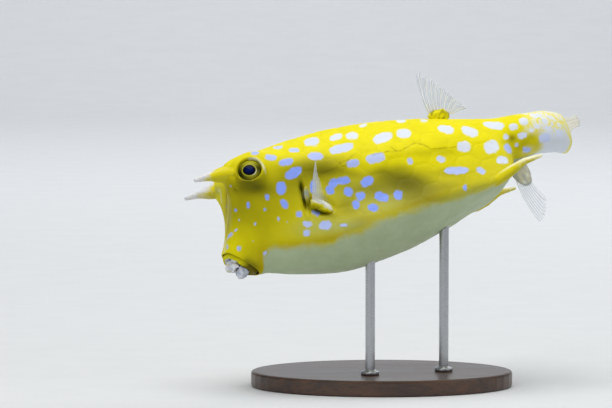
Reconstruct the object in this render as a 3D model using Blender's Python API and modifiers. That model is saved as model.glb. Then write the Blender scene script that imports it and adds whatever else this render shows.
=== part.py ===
"""A longhorn cowfish, life size, as a still model that banks on a small display stand.

The fish is modelled level in its own frame: x runs from the lips towards the tail, y towards
its right side and z up, with x = z = 0 at the middle of the lips. An empty then banks, pitches
and turns the whole fish over the stand, which is modelled in the world frame.
Lengths are written in millimetres and multiplied by MM.
"""

import math
from typing import NamedTuple

import bmesh
import bpy
from mathutils import Matrix, Vector

MM = 0.001
GAP = 0.3 * MM  # left between pieces that touch

# Pose of the fish over the stand, and the point of it that stands over the base's centre
BANK = math.radians(-22)
PITCH = math.radians(-15)
TURN = math.radians(17)
BALANCE_POINT = Vector((84, 0, 20)) * MM
BALANCE_HEIGHT = 103 * MM

# Body: rows of plates run the length of the shell, from the back (row 0) down one side to the
# belly (row 8) and up the other. Rows 2 and 5 are the upper and the lower ridge.
ROWS = 16
RIDGE_ROW = 2
KEEL_ROW = 5
BELLY_ROW = 8
RIM_CHAIN = -30 * MM  # chainage of the shell's rim round the mouth
HEAD_END = 31 * MM
SHELL_END = 151 * MM
HEAD_STEP = 4 * MM
HEAD_AROUND = 36

# Plates of the shell
PLATE_PITCH = 11.5 * MM
PLATE_RELIEF = 0.55 * MM
PLATE_FACE = 0.78  # share of a plate's width that its raised face takes

# Tail stalk: it starts to bend to the right at SHELL_END
STALK_LENGTH = 44 * MM
STALK_BEND = math.radians(56)
BEND_RADIUS = STALK_LENGTH / STALK_BEND
STALK_STEPS = 10
STALK_AROUND = 24

# Eyes, each a flattened ball that looks out and a little up from a mound on the cheek
EYE_CENTRE = Vector((17.9, -13.7, 40.3)) * MM
EYE_LOOK = Vector((-0.20, -0.93, 0.30))  # of the left eye
EYE_RADIUS = 8.0 * MM
EYE_DEPTH = 6.8 * MM  # from its centre to its front
EYE_RIM = 6.8 * MM
EYE_RIM_OUT = 5.0 * MM
EYE_RIM_THICKNESS = 1.1 * MM
EYE_MOUND = 11.6 * MM  # radius of the mound level with the eye's centre

# Mouth
LIP_CENTRE = Vector((-1.6, 0, -0.3)) * MM
MOUTH_TILT = math.radians(40)  # below level
LIP_RADIUS = 5.0 * MM
LIP_THICKNESS = 2.1 * MM

# Horns of the right side, in millimetres: the line down the middle and the radius along it
BROW_HORN_LINE = (
    (11, 12.2, 43.1),
    (7, 13.4, 43.9),
    (2, 14.5, 44.5),
    (-4, 15.3, 45.1),
    (-9.6, 15.8, 45.3),
)
BROW_HORN_RADII = (5.1, 4.6, 3.15, 2.0, 1.25)
REAR_HORN_LINE = (
    (133, 22.6, -1),
    (139, 24.6, 0.2),
    (144.5, 26, 1.8),
    (150.5, 27.3, 3.2),
    (157.6, 28.6, 3.1),
)
REAR_HORN_RADII = (3.0, 2.9, 2.3, 1.7, 0.95)

# Fins
MEMBRANE = 0.55 * MM
RAY = 1.1 * MM

# Stand
BASE_LENGTH = 132 * MM
BASE_WIDTH = 84 * MM
BASE_THICKNESS = 8 * MM
ROD_RADIUS = 2.4 * MM
ROD_CHAINS = (64 * MM, 106 * MM)


class Station(NamedTuple):
    """One place along the body, in millimetres. The ridge and the keel are those at y > 0."""

    chain: float
    back: tuple  # x, z of the middle of the back
    ridge: tuple  # x, y, z of the upper ridge
    keel: tuple  # x, y, z of the lower ridge
    belly: tuple  # x, z of the middle of the belly
    crown: float  # how far the roof between back and ridge swells
    hollow: float  # how far the flank between ridge and keel is drawn in


STATIONS = (
    Station(-30, (-6.9, 9.1), (-5.1, 8.0, 7.7), (4.4, 8.6, -3.1), (8.5, -6.3), 0.3, -1.8),
    Station(-24, (-2.8, 15.4), (-1.4, 10.8, 14.8), (8.4, 11.8, -0.6), (12.6, -6.6), 0.4, -1.6),
    Station(-13, (3.0, 27.0), (3.2, 13.0, 27.5), (13.0, 15.0, 0.4), (18.0, -8.4), 0.2, -1.0),
    Station(2, (9.8, 43.5), (6.0, 15.2, 46.6), (19.0, 19.2, -2.0), (26.0, -10.8), -1.0, -0.2),
    Station(18, (20.0, 52.4), (19.0, 17.2, 51.8), (28.0, 22.8, -4.0), (34.0, -13.0), -0.6, 0.6),
    Station(36, (36.0, 56.0), (36.0, 20.0, 42.5), (38.0, 26.2, -5.2), (42.0, -15.4), 1.2, 1.2),
    Station(60, (60.0, 57.0), (60.0, 22.6, 34.5), (60.0, 29.2, -5.0), (60.0, -18.0), 2.2, 2.2),
    Station(85, (85.0, 54.4), (85.0, 22.6, 31.5), (85.0, 30.2, -4.6), (85.0, -16.4), 2.2, 2.6),
    Station(110, (110.0, 48.8), (110.0, 20.2, 28.5), (110.0, 29.4, -4.4), (110.0, -11.4), 2.0, 2.6),
    Station(130, (130.0, 42.6), (130.0, 17.2, 26.0), (130.0, 27.6, -3.2), (130.0, -5.4), 1.6, 2.4),
    Station(141, (141.0, 39.0), (141.0, 14.6, 25.0), (141.0, 26.0, -1.4), (141.0, -2.2), 1.2, 1.8),
    Station(148, (147.0, 37.0), (147.0, 11.6, 25.6), (147.6, 16.5, 5.5), (147.0, 3.0), 1.0, 0.2),
    Station(154, (153.0, 35.4), (153.0, 9.0, 28.0), (153.0, 8.6, 13.6), (153.0, 10.4), 1.0, -0.6),
    Station(172, (172.0, 34.4), (172.0, 7.2, 28.6), (172.0, 6.8, 15.4), (172.0, 11.4), 1.0, -1.0),
    Station(196, (196.0, 34.4), (196.0, 5.4, 29.6), (196.0, 5.2, 15.2), (196.0, 10.8), 0.6, -0.8),
)


def smooth_at(chain, knots, values):
    """Value at a chainage of the curve through the knots, which rises and falls only as they do."""
    last = len(knots) - 1
    chain = min(max(chain, knots[0]), knots[last])
    i = max(k for k in range(last) if knots[k] <= chain)
    slopes = [(values[k + 1] - values[k]) / (knots[k + 1] - knots[k]) for k in range(last)]

    def tangent(k):
        if k == 0:
            return slopes[0]
        if k == last:
            return slopes[last - 1]
        if slopes[k - 1] * slopes[k] <= 0:
            return 0.0
        return 2 * slopes[k - 1] * slopes[k] / (slopes[k - 1] + slopes[k])

    width = knots[i + 1] - knots[i]
    f = (chain - knots[i]) / width
    return (
        (2 * f**3 - 3 * f**2 + 1) * values[i]
        + (f**3 - 2 * f**2 + f) * width * tangent(i)
        + (3 * f**2 - 2 * f**3) * values[i + 1]
        + (f**3 - f**2) * width * tangent(i + 1)
    )


def station_value(chain, field, part=None):
    """A field of the stations at a chainage in metres, in metres."""
    knots = [s.chain for s in STATIONS]
    values = [getattr(s, field) if part is None else getattr(s, field)[part] for s in STATIONS]
    return smooth_at(chain / MM, knots, values) * MM


def control_rows(chain):
    """The corners of the body's cross-section, one for each row of plates."""
    back = Vector((station_value(chain, "back", 0), 0, station_value(chain, "back", 1)))
    ridge = Vector([station_value(chain, "ridge", k) for k in range(3)])
    keel = Vector([station_value(chain, "keel", k) for k in range(3)])
    belly = Vector((station_value(chain, "belly", 0), 0, station_value(chain, "belly", 1)))
    crown = station_value(chain, "crown")
    hollow = station_value(chain, "hollow")
    half = [back, back.lerp(ridge, 0.5) + Vector((0, 0.5, 0.87)) * crown]
    for k in range(RIDGE_ROW, KEEL_ROW + 1):
        f = (k - RIDGE_ROW) / (KEEL_ROW - RIDGE_ROW)
        half.append(ridge.lerp(keel, f) - Vector((0, 1, 0)) * hollow * math.sin(f * math.pi))
    for k in range(KEEL_ROW + 1, BELLY_ROW + 1):
        f = (k - KEEL_ROW) / (BELLY_ROW - KEEL_ROW)
        drop = 1 - (1 - f) ** 2
        half.append(
            Vector((
                keel.x + (belly.x - keel.x) * drop,
                keel.y * (1 - f),
                keel.z + (belly.z - keel.z) * drop,
            ))
        )
    mirrored = [Vector((p.x, -p.y, p.z)) for p in half[BELLY_ROW - 1:0:-1]]
    return half + mirrored


def bend(point):
    """Turns what lies behind the shell to the right, along an arc that then runs on straight."""
    along = point.x - SHELL_END
    if along <= 0:
        return point.copy()
    angle = min(along, STALK_LENGTH) / BEND_RADIUS
    beyond = max(along - STALK_LENGTH, 0)
    side = Vector((-math.sin(angle), math.cos(angle), 0))
    ahead = Vector((math.cos(angle), math.sin(angle), 0))
    centre = Vector((SHELL_END, BEND_RADIUS, 0)) - side * BEND_RADIUS
    return centre + ahead * beyond + side * point.y + Vector((0, 0, point.z))


def skin_point(chain, row):
    """A point of the body's surface: a smooth curve round the corners of the cross-section."""
    corners = control_rows(chain)
    i = math.floor(row + 0.5)
    f = row - i + 0.5
    before, here, after = (corners[(i + k) % ROWS] for k in (-1, 0, 1))
    point = before * (1 - f) ** 2 / 2 + here * (0.5 + f * (1 - f)) + after * f**2 / 2
    return bend(point)


def skin_normal(chain, row):
    """The direction straight out of the body's surface."""
    step = 0.5 * MM
    along = skin_point(chain + step, row) - skin_point(chain - step, row)
    around = skin_point(chain, row + 0.05) - skin_point(chain, row - 0.05)
    return around.cross(along).normalized()


def smoothstep(low, high, value):
    f = min(max((value - low) / (high - low), 0), 1)
    return f * f * (3 - 2 * f)


def material(name, colour, roughness, metallic=0.0, alpha=1.0):
    """A plain finish, shared by name."""
    found = bpy.data.materials.get(name)
    if found:
        return found
    made = bpy.data.materials.new(name)
    made.use_nodes = True
    shader = made.node_tree.nodes["Principled BSDF"]
    shader.inputs["Base Color"].default_value = (*colour, 1)
    shader.inputs["Roughness"].default_value = roughness
    shader.inputs["Metallic"].default_value = metallic
    shader.inputs["Alpha"].default_value = alpha
    return made


def yellow_skin():
    return material("yellow_skin", (0.80, 0.66, 0.02), 0.38)


def pale_horn():
    return material("pale_horn", (0.86, 0.84, 0.70), 0.35)


def clear_fin():
    return material("clear_fin", (0.78, 0.85, 0.90), 0.3, alpha=0.6)


def mesh_object(name, bm, finish=None, smooth_angle=40):
    """Makes an object of a bmesh, all triangles, and frees the bmesh."""
    bmesh.ops.triangulate(bm, faces=bm.faces)
    mesh = bpy.data.meshes.new(name)
    bm.to_mesh(mesh)
    bm.free()
    obj = bpy.data.objects.new(name, mesh)
    bpy.context.scene.collection.objects.link(obj)
    mesh.shade_smooth()
    mesh.set_sharp_from_angle(angle=math.radians(smooth_angle))
    if finish:
        mesh.materials.append(finish)
    return obj


def baked(obj):
    """Replaces an object's mesh, or a curve object, with what its modifiers make of it."""
    bpy.context.view_layer.update()
    evaluated = obj.evaluated_get(bpy.context.evaluated_depsgraph_get())
    shape = bpy.data.meshes.new_from_object(evaluated)
    if obj.type == "CURVE":
        bm = bmesh.new()
        bm.from_mesh(shape)
        bmesh.ops.remove_doubles(bm, verts=bm.verts, dist=0.01 * MM)
        bm.to_mesh(shape)
        bm.free()
    name = obj.name
    place = obj.matrix_world.copy()
    bpy.data.objects.remove(obj)
    made = bpy.data.objects.new(name, shape)
    made.matrix_world = place
    bpy.context.scene.collection.objects.link(made)
    return made


def largest_piece(obj):
    """Keeps only the largest closed surface of a mesh."""
    bm = bmesh.new()
    bm.from_mesh(obj.data)
    bmesh.ops.triangulate(bm, faces=bm.faces)
    waiting = set(bm.verts)
    pieces = []
    while waiting:
        piece = {waiting.pop()}
        front = list(piece)
        while front:
            for edge in front.pop().link_edges:
                for vert in edge.verts:
                    if vert in waiting:
                        waiting.remove(vert)
                        piece.add(vert)
                        front.append(vert)
        pieces.append(piece)
    kept = max(pieces, key=len)
    loose = [v for v in bm.verts if v not in kept]
    bmesh.ops.delete(bm, geom=loose, context="VERTS")
    bm.to_mesh(obj.data)
    bm.free()
    return obj


def combine(obj, others, operation, solver="EXACT"):
    """Joins the others to an object, or cuts them from it, and removes them."""
    group = bpy.data.collections.new(obj.name + "_pieces")
    for other in others:
        for holder in list(other.users_collection):
            holder.objects.unlink(other)
        group.objects.link(other)
    step = obj.modifiers.new(operation.lower(), "BOOLEAN")
    step.operation = operation
    step.operand_type = "COLLECTION"
    step.collection = group
    step.solver = solver
    bpy.context.scene.collection.children.link(group)
    joined = baked(obj)
    for other in others:
        bpy.data.objects.remove(other)
    bpy.data.collections.remove(group)
    return largest_piece(joined)


def cut_clear(obj, neighbour, gap=GAP):
    """Cuts an object back so that it meets its neighbour face to face, a gap away."""
    cutter = neighbour.copy()
    cutter.data = neighbour.data.copy()
    cutter.parent = None
    cutter.matrix_world = neighbour.matrix_world
    bm = bmesh.new()
    bm.from_mesh(cutter.data)
    bm.normal_update()
    for vert in bm.verts:
        vert.co += vert.normal * gap * min(vert.calc_shell_factor(), 1.5)
    bm.to_mesh(cutter.data)
    bm.free()
    bpy.context.scene.collection.objects.link(cutter)
    return combine(obj, [cutter], "DIFFERENCE", "MANIFOLD")


def slice_mesh(bm, x, keep_front):
    """Cuts a bmesh straight across at x and closes the cut."""
    found = bmesh.ops.bisect_plane(
        bm,
        geom=list(bm.verts) + list(bm.edges) + list(bm.faces),
        plane_co=(x, 0, 0),
        plane_no=(1, 0, 0),
        clear_outer=keep_front,
        clear_inner=not keep_front,
    )
    rim = [g for g in found["geom_cut"] if isinstance(g, bmesh.types.BMEdge)]
    bmesh.ops.holes_fill(bm, edges=rim, sides=0)


def skin_ring(bm, chain, count):
    """A ring of vertices on the body's surface, evenly spread over the rows."""
    return [bm.verts.new(skin_point(chain, ROWS * k / count)) for k in range(count)]


def bridge(bm, ring, following):
    """Faces between two rings of one length, facing away from the body's middle."""
    for k in range(len(ring)):
        n = (k + 1) % len(ring)
        bm.faces.new((ring[k], ring[n], following[n], following[k]))


def close_mouth(bm, rim):
    """The groove inside the shell's rim and the fleshy collar that carries the lips."""
    middle = sum((v.co for v in rim), Vector()) / len(rim)
    out = Vector((-math.cos(MOUTH_TILT), 0, -math.sin(MOUTH_TILT)))
    ring = rim
    for share, rise in ((0.9, -0.2), (0.86, -1.6), (0.78, -1.5), (0.72, 0.2), (0.4, 1.2)):
        inner = [bm.verts.new(middle + (v.co - middle) * share + out * rise * MM) for v in rim]
        bridge(bm, inner, ring)
        ring = inner
    tip = bm.verts.new(middle + out * MM)
    for k in range(len(ring)):
        bm.faces.new((ring[k], tip, ring[(k + 1) % len(ring)]))


def eye_axis(side):
    """Where an eye sits and the way it looks, on the left side (-1) or the right one (1)."""
    centre = Vector((EYE_CENTRE.x, -side * EYE_CENTRE.y, EYE_CENTRE.z))
    return centre, Vector((EYE_LOOK.x, -side * EYE_LOOK.y, EYE_LOOK.z)).normalized()


def eye_ball(name, side, gap=0.0, finish=None):
    """The flattened ball of an eye, or its socket if a gap is given."""
    centre, look = eye_axis(side)
    place = Matrix.Translation(centre) @ look.to_track_quat("Z", "Y").to_matrix().to_4x4()
    place = place @ Matrix.Diagonal((EYE_RADIUS + gap, EYE_RADIUS + gap, EYE_DEPTH + gap, 1))
    bm = bmesh.new()
    bmesh.ops.create_uvsphere(bm, u_segments=20, v_segments=12, radius=1, matrix=place)
    return mesh_object(name, bm, finish)


def ellipsoid(name, centre, sizes, turn=None, detail=14):
    """A closed ellipsoid with the given half-sizes, turned about its centre."""
    bm = bmesh.new()
    place = Matrix.Translation(centre) @ (turn.to_4x4() if turn else Matrix.Identity(4))
    place = place @ Matrix.Diagonal((*sizes, 1))
    bmesh.ops.create_uvsphere(bm, u_segments=detail, v_segments=detail // 2 + 1, radius=1, matrix=place)
    return mesh_object(name, bm)


def tapered_tube(name, points, radii, sides=3, steps=2):
    """A round piece that swells or tapers along a smooth line through a few points."""
    curve = bpy.data.curves.new(name, "CURVE")
    curve.dimensions = "3D"
    curve.bevel_depth = 1
    curve.bevel_resolution = sides
    curve.use_fill_caps = True
    spline = curve.splines.new("POLY")
    count = steps * (len(points) - 1)
    spline.points.add(count)
    knots = list(range(len(points)))
    for k in range(count + 1):
        at = k / steps
        place = [smooth_at(at, knots, [p[axis] for p in points]) for axis in range(3)]
        spline.points[k].co = (*place, 1)
        spline.points[k].radius = smooth_at(at, knots, radii)
    obj = bpy.data.objects.new(name, curve)
    bpy.context.scene.collection.objects.link(obj)
    return baked(obj)


def rim_ring(name, centre, axis, radius, thickness):
    """A ring round an axis."""
    bpy.ops.mesh.primitive_torus_add(
        major_segments=24, minor_segments=6, major_radius=radius, minor_radius=thickness
    )
    obj = bpy.context.object
    obj.name = name
    obj.data.transform(Matrix.Translation(centre) @ axis.to_track_quat("Z", "Y").to_matrix().to_4x4())
    return obj


def eye_mound(side):
    """The blunt cone on the cheek that carries an eye and its rim."""
    centre, look = eye_axis(side)
    bpy.ops.mesh.primitive_cone_add(
        vertices=24, radius1=EYE_MOUND, radius2=EYE_RIM, depth=EYE_RIM_OUT
    )
    mound = bpy.context.object
    middle = centre + look * EYE_RIM_OUT / 2
    mound.data.transform(Matrix.Translation(middle) @ look.to_track_quat("Z", "Y").to_matrix().to_4x4())
    return mound


def make_head():
    """The face, brows and cheeks, down to a straight cut behind the eyes.

    Returns it, and the same shape with its eye sockets still filled, which cuts the horns.
    """
    bm = bmesh.new()
    rim = skin_ring(bm, RIM_CHAIN, HEAD_AROUND)
    close_mouth(bm, rim)
    ring = rim
    chain = RIM_CHAIN
    while chain < HEAD_END + 3 * HEAD_STEP:
        chain += HEAD_STEP
        following = skin_ring(bm, chain, HEAD_AROUND)
        bridge(bm, ring, following)
        ring = following
    slice_mesh(bm, HEAD_END, keep_front=True)
    head = mesh_object("head", bm)
    rims = []
    sockets = []
    for side in (-1, 1):
        centre, look = eye_axis(side)
        rims.append(eye_mound(side))
        rims.append(rim_ring("rim", centre + look * EYE_RIM_OUT, look, EYE_RIM, EYE_RIM_THICKNESS))
        sockets.append(eye_ball("socket", side, GAP))
        nostril = skin_point(-2 * MM, side * 2.55)
        rims.append(ellipsoid("nostril_rim", nostril, (1.1 * MM, 0.9 * MM, 1.1 * MM), detail=8))
        out = skin_normal(-2 * MM, side * 2.55)
        pit = nostril + out * 0.9 * MM
        sockets.append(ellipsoid("nostril", pit, (0.55 * MM, 1.3 * MM, 0.55 * MM), detail=8))
    head = combine(head, rims, "UNION")
    blank = head.copy()
    blank.data = head.data.copy()
    blank.name = "head_blank"
    bpy.context.scene.collection.objects.link(blank)
    head = combine(head, sockets, "DIFFERENCE")
    head.data.materials.append(yellow_skin())
    return head, blank


def plate_height(chain):
    """The plates stand out most at mid-body and fade towards the head and the tail."""
    rising = smoothstep(26 * MM, 44 * MM, chain)
    falling = 1 - smoothstep(138 * MM, 150 * MM, chain)
    return PLATE_RELIEF * rising * falling


def make_shell():
    """The box of six-sided plates from the gills to the tail stalk."""
    bm = bmesh.new()
    corners = {}

    def corner(chain, row):
        key = (round(chain / MM * 6), round(row * 2) % (2 * ROWS))
        if key not in corners:
            corners[key] = bm.verts.new(skin_point(chain, row))
        return corners[key]

    def raised(chain, row, height):
        return bm.verts.new(skin_point(chain, row) + skin_normal(chain, row) * height)

    columns = math.ceil((SHELL_END - HEAD_END) / PLATE_PITCH) + 5
    around = ((-2 / 3, 0), (-1 / 3, 0.5), (1 / 3, 0.5), (2 / 3, 0), (1 / 3, -0.5), (-1 / 3, -0.5))
    for column in range(columns):
        chain = HEAD_END + (column - 3) * PLATE_PITCH
        height = plate_height(chain)
        for k in range(ROWS):
            row = k + 0.5 * (column % 2)
            outer = [corner(chain + a * PLATE_PITCH, row + b) for a, b in around]
            inner = [
                raised(chain + a * PLATE_PITCH * PLATE_FACE, row + b * PLATE_FACE, height)
                for a, b in around
            ]
            middle = raised(chain, row, height)
            for n in range(6):
                m = (n + 1) % 6
                bm.faces.new((outer[n], outer[m], inner[m], inner[n]))
                bm.faces.new((inner[n], inner[m], middle))
    slice_mesh(bm, HEAD_END + GAP, keep_front=False)
    slice_mesh(bm, SHELL_END, keep_front=True)
    bmesh.ops.recalc_face_normals(bm, faces=bm.faces)
    shell = mesh_object("carapace", bm)
    cuts = []
    for side in (-1, 1):
        cuts += gill_cuts(side)
    shell = combine(shell, cuts, "DIFFERENCE")
    shell.data.materials.append(yellow_skin())
    return shell


def side_point(x, z, side, out=0.0):
    """The point of the flank at x and z in millimetres, moved straight out by a distance."""
    chain = x * MM
    rows = [RIDGE_ROW + 0.05 * k for k in range(70)]
    row = min(rows, key=lambda r: abs(skin_point(chain, r).z - z * MM))
    place = skin_point(chain, side * row)
    return place + Vector((0, side, 0)) * out


def gill_cuts(side):
    """The gill slit, and the dished hollow behind it that the pectoral fin stands in."""
    lean = Matrix.Rotation(math.radians(14), 3, "Y")
    slant = Matrix.Rotation(math.radians(-32 * side), 3, "Z")
    slit_sizes = (0.9 * MM, 5 * MM, 7.6 * MM)
    slit = ellipsoid("slit", side_point(36.4, 19.8, side), slit_sizes, lean @ slant)
    dish_place = side_point(42.6, 13.8, side, 0.4 * MM)
    dish_sizes = (9.2 * MM, 3.2 * MM, 6.2 * MM)
    dish_turn = Matrix.Rotation(math.radians(36), 3, "Y")
    dish = ellipsoid("dish", dish_place, dish_sizes, dish_turn, detail=16)
    return [slit, dish]


def make_stalk():
    """The bare stalk that carries the tail fin, bending to the fish's right."""
    bm = bmesh.new()
    start = SHELL_END + GAP
    ring = None
    for step in range(STALK_STEPS + 1):
        following = skin_ring(bm, start + (STALK_LENGTH - GAP) * step / STALK_STEPS, STALK_AROUND)
        if ring:
            bridge(bm, ring, following)
        else:
            bm.faces.new(reversed(following))
            first = following
        ring = following
    for vert in first:
        vert.co.x = start
    cap = bm.faces.new(ring)
    bmesh.ops.recalc_face_normals(bm, faces=bm.faces)
    crown = bmesh.ops.inset_individual(bm, faces=[cap], thickness=1.6 * MM, depth=1.4 * MM)
    bmesh.ops.recalc_face_normals(bm, faces=crown["faces"] + [cap])
    return mesh_object("tail_stalk", bm, yellow_skin())


def make_eyes():
    """The eyes in their sockets."""
    eyes = []
    for name, side in (("eye_left", -1), ("eye_right", 1)):
        eyes.append(eye_ball(name, side, finish=material("eye", (0.16, 0.16, 0.03), 0.08)))
    return eyes


def make_lips(head):
    """The upper and the lower lip, thick and drawn to a point at the corners of the mouth."""
    out = Vector((-math.cos(MOUTH_TILT), 0, -math.sin(MOUTH_TILT)))
    up = Vector((-math.sin(MOUTH_TILT), 0, math.cos(MOUTH_TILT)))
    finish = material("lip", (0.80, 0.80, 0.76), 0.4)
    lips = []
    for name, sign in (("lip_upper", 1), ("lip_lower", -1)):
        points = []
        radii = []
        for angle in (4, 30, 60, 90, 120, 150, 176):
            a = math.radians(angle)
            reach = (1.6 if sign > 0 else 1.0) * math.sin(a) * MM
            points.append(
                LIP_CENTRE
                + Vector((0, math.cos(a) * LIP_RADIUS * 1.05, 0))
                + up * sign * math.sin(a) * LIP_RADIUS * 0.72
                + out * reach
            )
            radii.append(LIP_THICKNESS * (0.42 + 0.58 * math.sin(a)))
        lip = tapered_tube(name, points, radii)
        flesh_root = ellipsoid(
            "root",
            LIP_CENTRE + up * sign * 3.0 * MM - out * 1.2 * MM,
            (3.6 * MM, 4.6 * MM, 2.2 * MM),
            Matrix.Rotation(-MOUTH_TILT, 3, "Y"),
        )
        lip = combine(lip, [flesh_root], "UNION")
        lip = cut_clear(lip, head)
        if lips:
            lip = cut_clear(lip, lips[0])
        lip.data.materials.append(finish)
        lips.append(lip)
    return lips


def make_brow_horns(head, eyes):
    """The pair of long horns over the eyes, pointing ahead and a little down at the tips."""
    horns = []
    for name, side, eye in (("brow_horn_left", -1, eyes[0]), ("brow_horn_right", 1, eyes[1])):
        points = [Vector((x, side * y, z)) * MM for x, y, z in BROW_HORN_LINE]
        radii = [radius * MM for radius in BROW_HORN_RADII]
        horn = tapered_tube(name, points, radii)
        tip = ellipsoid("tip", points[-1], (1.7 * MM, 1.23 * MM, 1.23 * MM), detail=10)
        horn = combine(horn, [tip], "UNION")
        horn = cut_clear(horn, head)
        horn = cut_clear(horn, eye)
        horn.data.materials.append(pale_horn())
        horns.append(horn)
    return horns


def make_rear_horns(shell):
    """The pair of horns that carry the lower ridges on behind the shell."""
    horns = []
    for name, side in (("rear_horn_left", -1), ("rear_horn_right", 1)):
        points = [Vector((x, side * y, z)) * MM for x, y, z in REAR_HORN_LINE]
        radii = [radius * MM for radius in REAR_HORN_RADII]
        horn = tapered_tube(name, points, radii)
        tip = ellipsoid("tip", points[-1], (1.4 * MM, 0.93 * MM, 0.93 * MM), detail=10)
        horn = combine(horn, [tip], "UNION")
        horn = cut_clear(horn, shell)
        horn.data.materials.append(pale_horn())
        horns.append(horn)
    return horns


def outline_of(lines):
    """The vertices round the edge of a sheet that is given as lines from its root to its tip."""
    foot = [line[0] for line in lines]
    end = [line[-1] for line in lines]
    return foot + lines[-1][1:-1] + end[::-1] + lines[0][-2:0:-1]


def fin_fan(name, rays, root, tip, sweep, side, curl, fold=0.0, steps=4, scallop=0.05):
    """A fin of rays and the membrane between them, as one closed sheet with raised rays.

    root and tip give a point for a place from 0 to 1 across the fin, sweep is how far a ray
    bows at its middle, side is the way the sheet faces, curl is how far its tips lean that way
    and fold is how far neighbouring rays stand apart in a folded fin.
    """
    foot = 0.3 / rays
    across = []
    for ray in range(rays):
        middle = (ray + 0.5) / rays
        way = (-1) ** ray
        if ray:
            across.append((middle - 0.5 / rays, MEMBRANE, 1 - scallop, 0.0))
        across.append((middle - foot, MEMBRANE, 1 - scallop * 0.6, way * 0.5))
        across.append((middle, RAY, 1.0, way))
        across.append((middle + foot, MEMBRANE, 1 - scallop * 0.6, way * 0.5))
    bm = bmesh.new()
    sheets = {1: [], -1: []}
    for place, thickness, reach, way in across:
        for face in (1, -1):
            line = []
            for step in range(steps + 1):
                f = step / steps
                r = f * reach
                start, end = root(place), tip(place)
                point = start.lerp(end, r) + sweep(place) * 4 * r * (1 - r)
                point += side * (curl * r * r + fold * way * min(1, 3 * r))
                half = (MEMBRANE + (thickness - MEMBRANE) * (1 - 0.75 * f)) / 2
                half *= 1 - 0.25 * f
                line.append(bm.verts.new(point + side * face * half))
            sheets[face].append(line)
    for face in (1, -1):
        lines = sheets[face]
        for j in range(len(lines) - 1):
            for i in range(steps):
                a, b, c, d = lines[j][i], lines[j][i + 1], lines[j + 1][i + 1], lines[j + 1][i]
                for corners in ((a, b, c), (a, c, d)):
                    bm.faces.new(corners if face > 0 else reversed(corners))
    edge, other = (outline_of(sheets[face]) for face in (1, -1))
    for k in range(len(edge)):
        n = (k + 1) % len(edge)
        bm.faces.new((edge[k], edge[n], other[n], other[k]))
    bmesh.ops.recalc_face_normals(bm, faces=bm.faces)
    return mesh_object(name, bm)


def make_dorsal_fin(shell):
    """The small fin on the back, with its fleshy foot."""
    def root(v):
        return Vector((120.0 + 13.0 * v, 0, 46.4 - 3.0 * v)) * MM

    def tip(v):
        return Vector((121.2 + 18.6 * v**0.85, 0, 70.0 - 26.4 * v**1.05)) * MM

    def sweep(v):
        return Vector((-1.3 + 0.6 * v, 0, 0.4)) * MM

    fin = fin_fan("dorsal_fin", 9, root, tip, sweep, Vector((0, 1, 0)), -1.5 * MM)
    foot_sizes = (6.4 * MM, 2.1 * MM, 4.6 * MM)
    foot_turn = Matrix.Rotation(math.radians(14), 3, "Y")
    foot = ellipsoid("foot", Vector((124.8, 0, 44.4)) * MM, foot_sizes, foot_turn)
    fin = combine(fin, [foot], "UNION")
    fin = cut_clear(fin, shell)
    fin.data.materials.append(clear_fin())
    return fin


def make_anal_fin(shell, stalk):
    """The fin under the tail stalk, on a fleshy lobe."""
    def root(v):
        return Vector((150.8 + 6.6 * v, 0.4, 1.0 + 3.6 * v)) * MM

    def tip(v):
        return Vector((154.0 + 8.0 * v**0.9, -1.0, -24.4 + 11.4 * v**1.6)) * MM

    def sweep(v):
        return Vector((-1.2, 0, 0.2)) * MM

    fin = fin_fan("anal_fin", 8, root, tip, sweep, Vector((0, 1, 0)), -1.2 * MM)
    lobe_sizes = (5.0 * MM, 2.3 * MM, 9.6 * MM)
    lobe_turn = Matrix.Rotation(math.radians(-12), 3, "Y")
    lobe = ellipsoid("lobe", Vector((154.6, 0.5, 5.4)) * MM, lobe_sizes, lobe_turn)
    fin = combine(fin, [lobe], "UNION")
    fin = cut_clear(fin, shell)
    fin = cut_clear(fin, stalk)
    fin.data.materials.append(clear_fin())
    return fin


def along(points, share):
    """The point at a share of the way along a smooth line through some points."""
    knots = list(range(len(points)))
    at = share * knots[-1]
    return Vector([smooth_at(at, knots, [p[axis] for p in points]) for axis in range(3)])


def make_pectoral_fins(shell):
    """The fans behind the gills: the front ray stands up, the others point out and shorten."""
    roots = ((39.6, 25.0, 15.6), (42.6, 25.4, 13.0), (45.8, 25.8, 10.0), (48.4, 25.8, 6.8))
    tips = (
        (47.2, 32.6, 35.0),
        (44.6, 34.4, 26.6),
        (44.0, 35.4, 20.2),
        (44.6, 35.2, 13.4),
        (46.2, 33.4, 5.4),
    )
    fins = []
    for name, side in (("pectoral_fin_left", -1), ("pectoral_fin_right", 1)):
        feet = [Vector((x, side * y, z)) * MM for x, y, z in roots]
        ends = [Vector((x, side * y, z)) * MM for x, y, z in tips]

        def root(v, feet=feet):
            return along(feet, v)

        def tip(v, ends=ends):
            return along(ends, v)

        def sweep(v, side=side):
            return Vector((-0.6, side * 0.4, 0.3)) * MM

        out = (feet[-1] - feet[0]).cross(ends[2] - feet[1]).normalized() * side
        fin = fin_fan(name, 8, root, tip, sweep, out, 0.0)
        arm = ellipsoid(
            "arm",
            (feet[0] + feet[-1]) / 2 - Vector((0, side * 1.2, 0)) * MM,
            (6.8 * MM, 2.9 * MM, 2.1 * MM),
            Matrix.Rotation(math.radians(44), 3, "Y"),
        )
        fin = combine(fin, [arm], "UNION")
        fin = cut_clear(fin, shell)
        fin.data.materials.append(clear_fin())
        fins.append(fin)
    return fins


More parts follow.
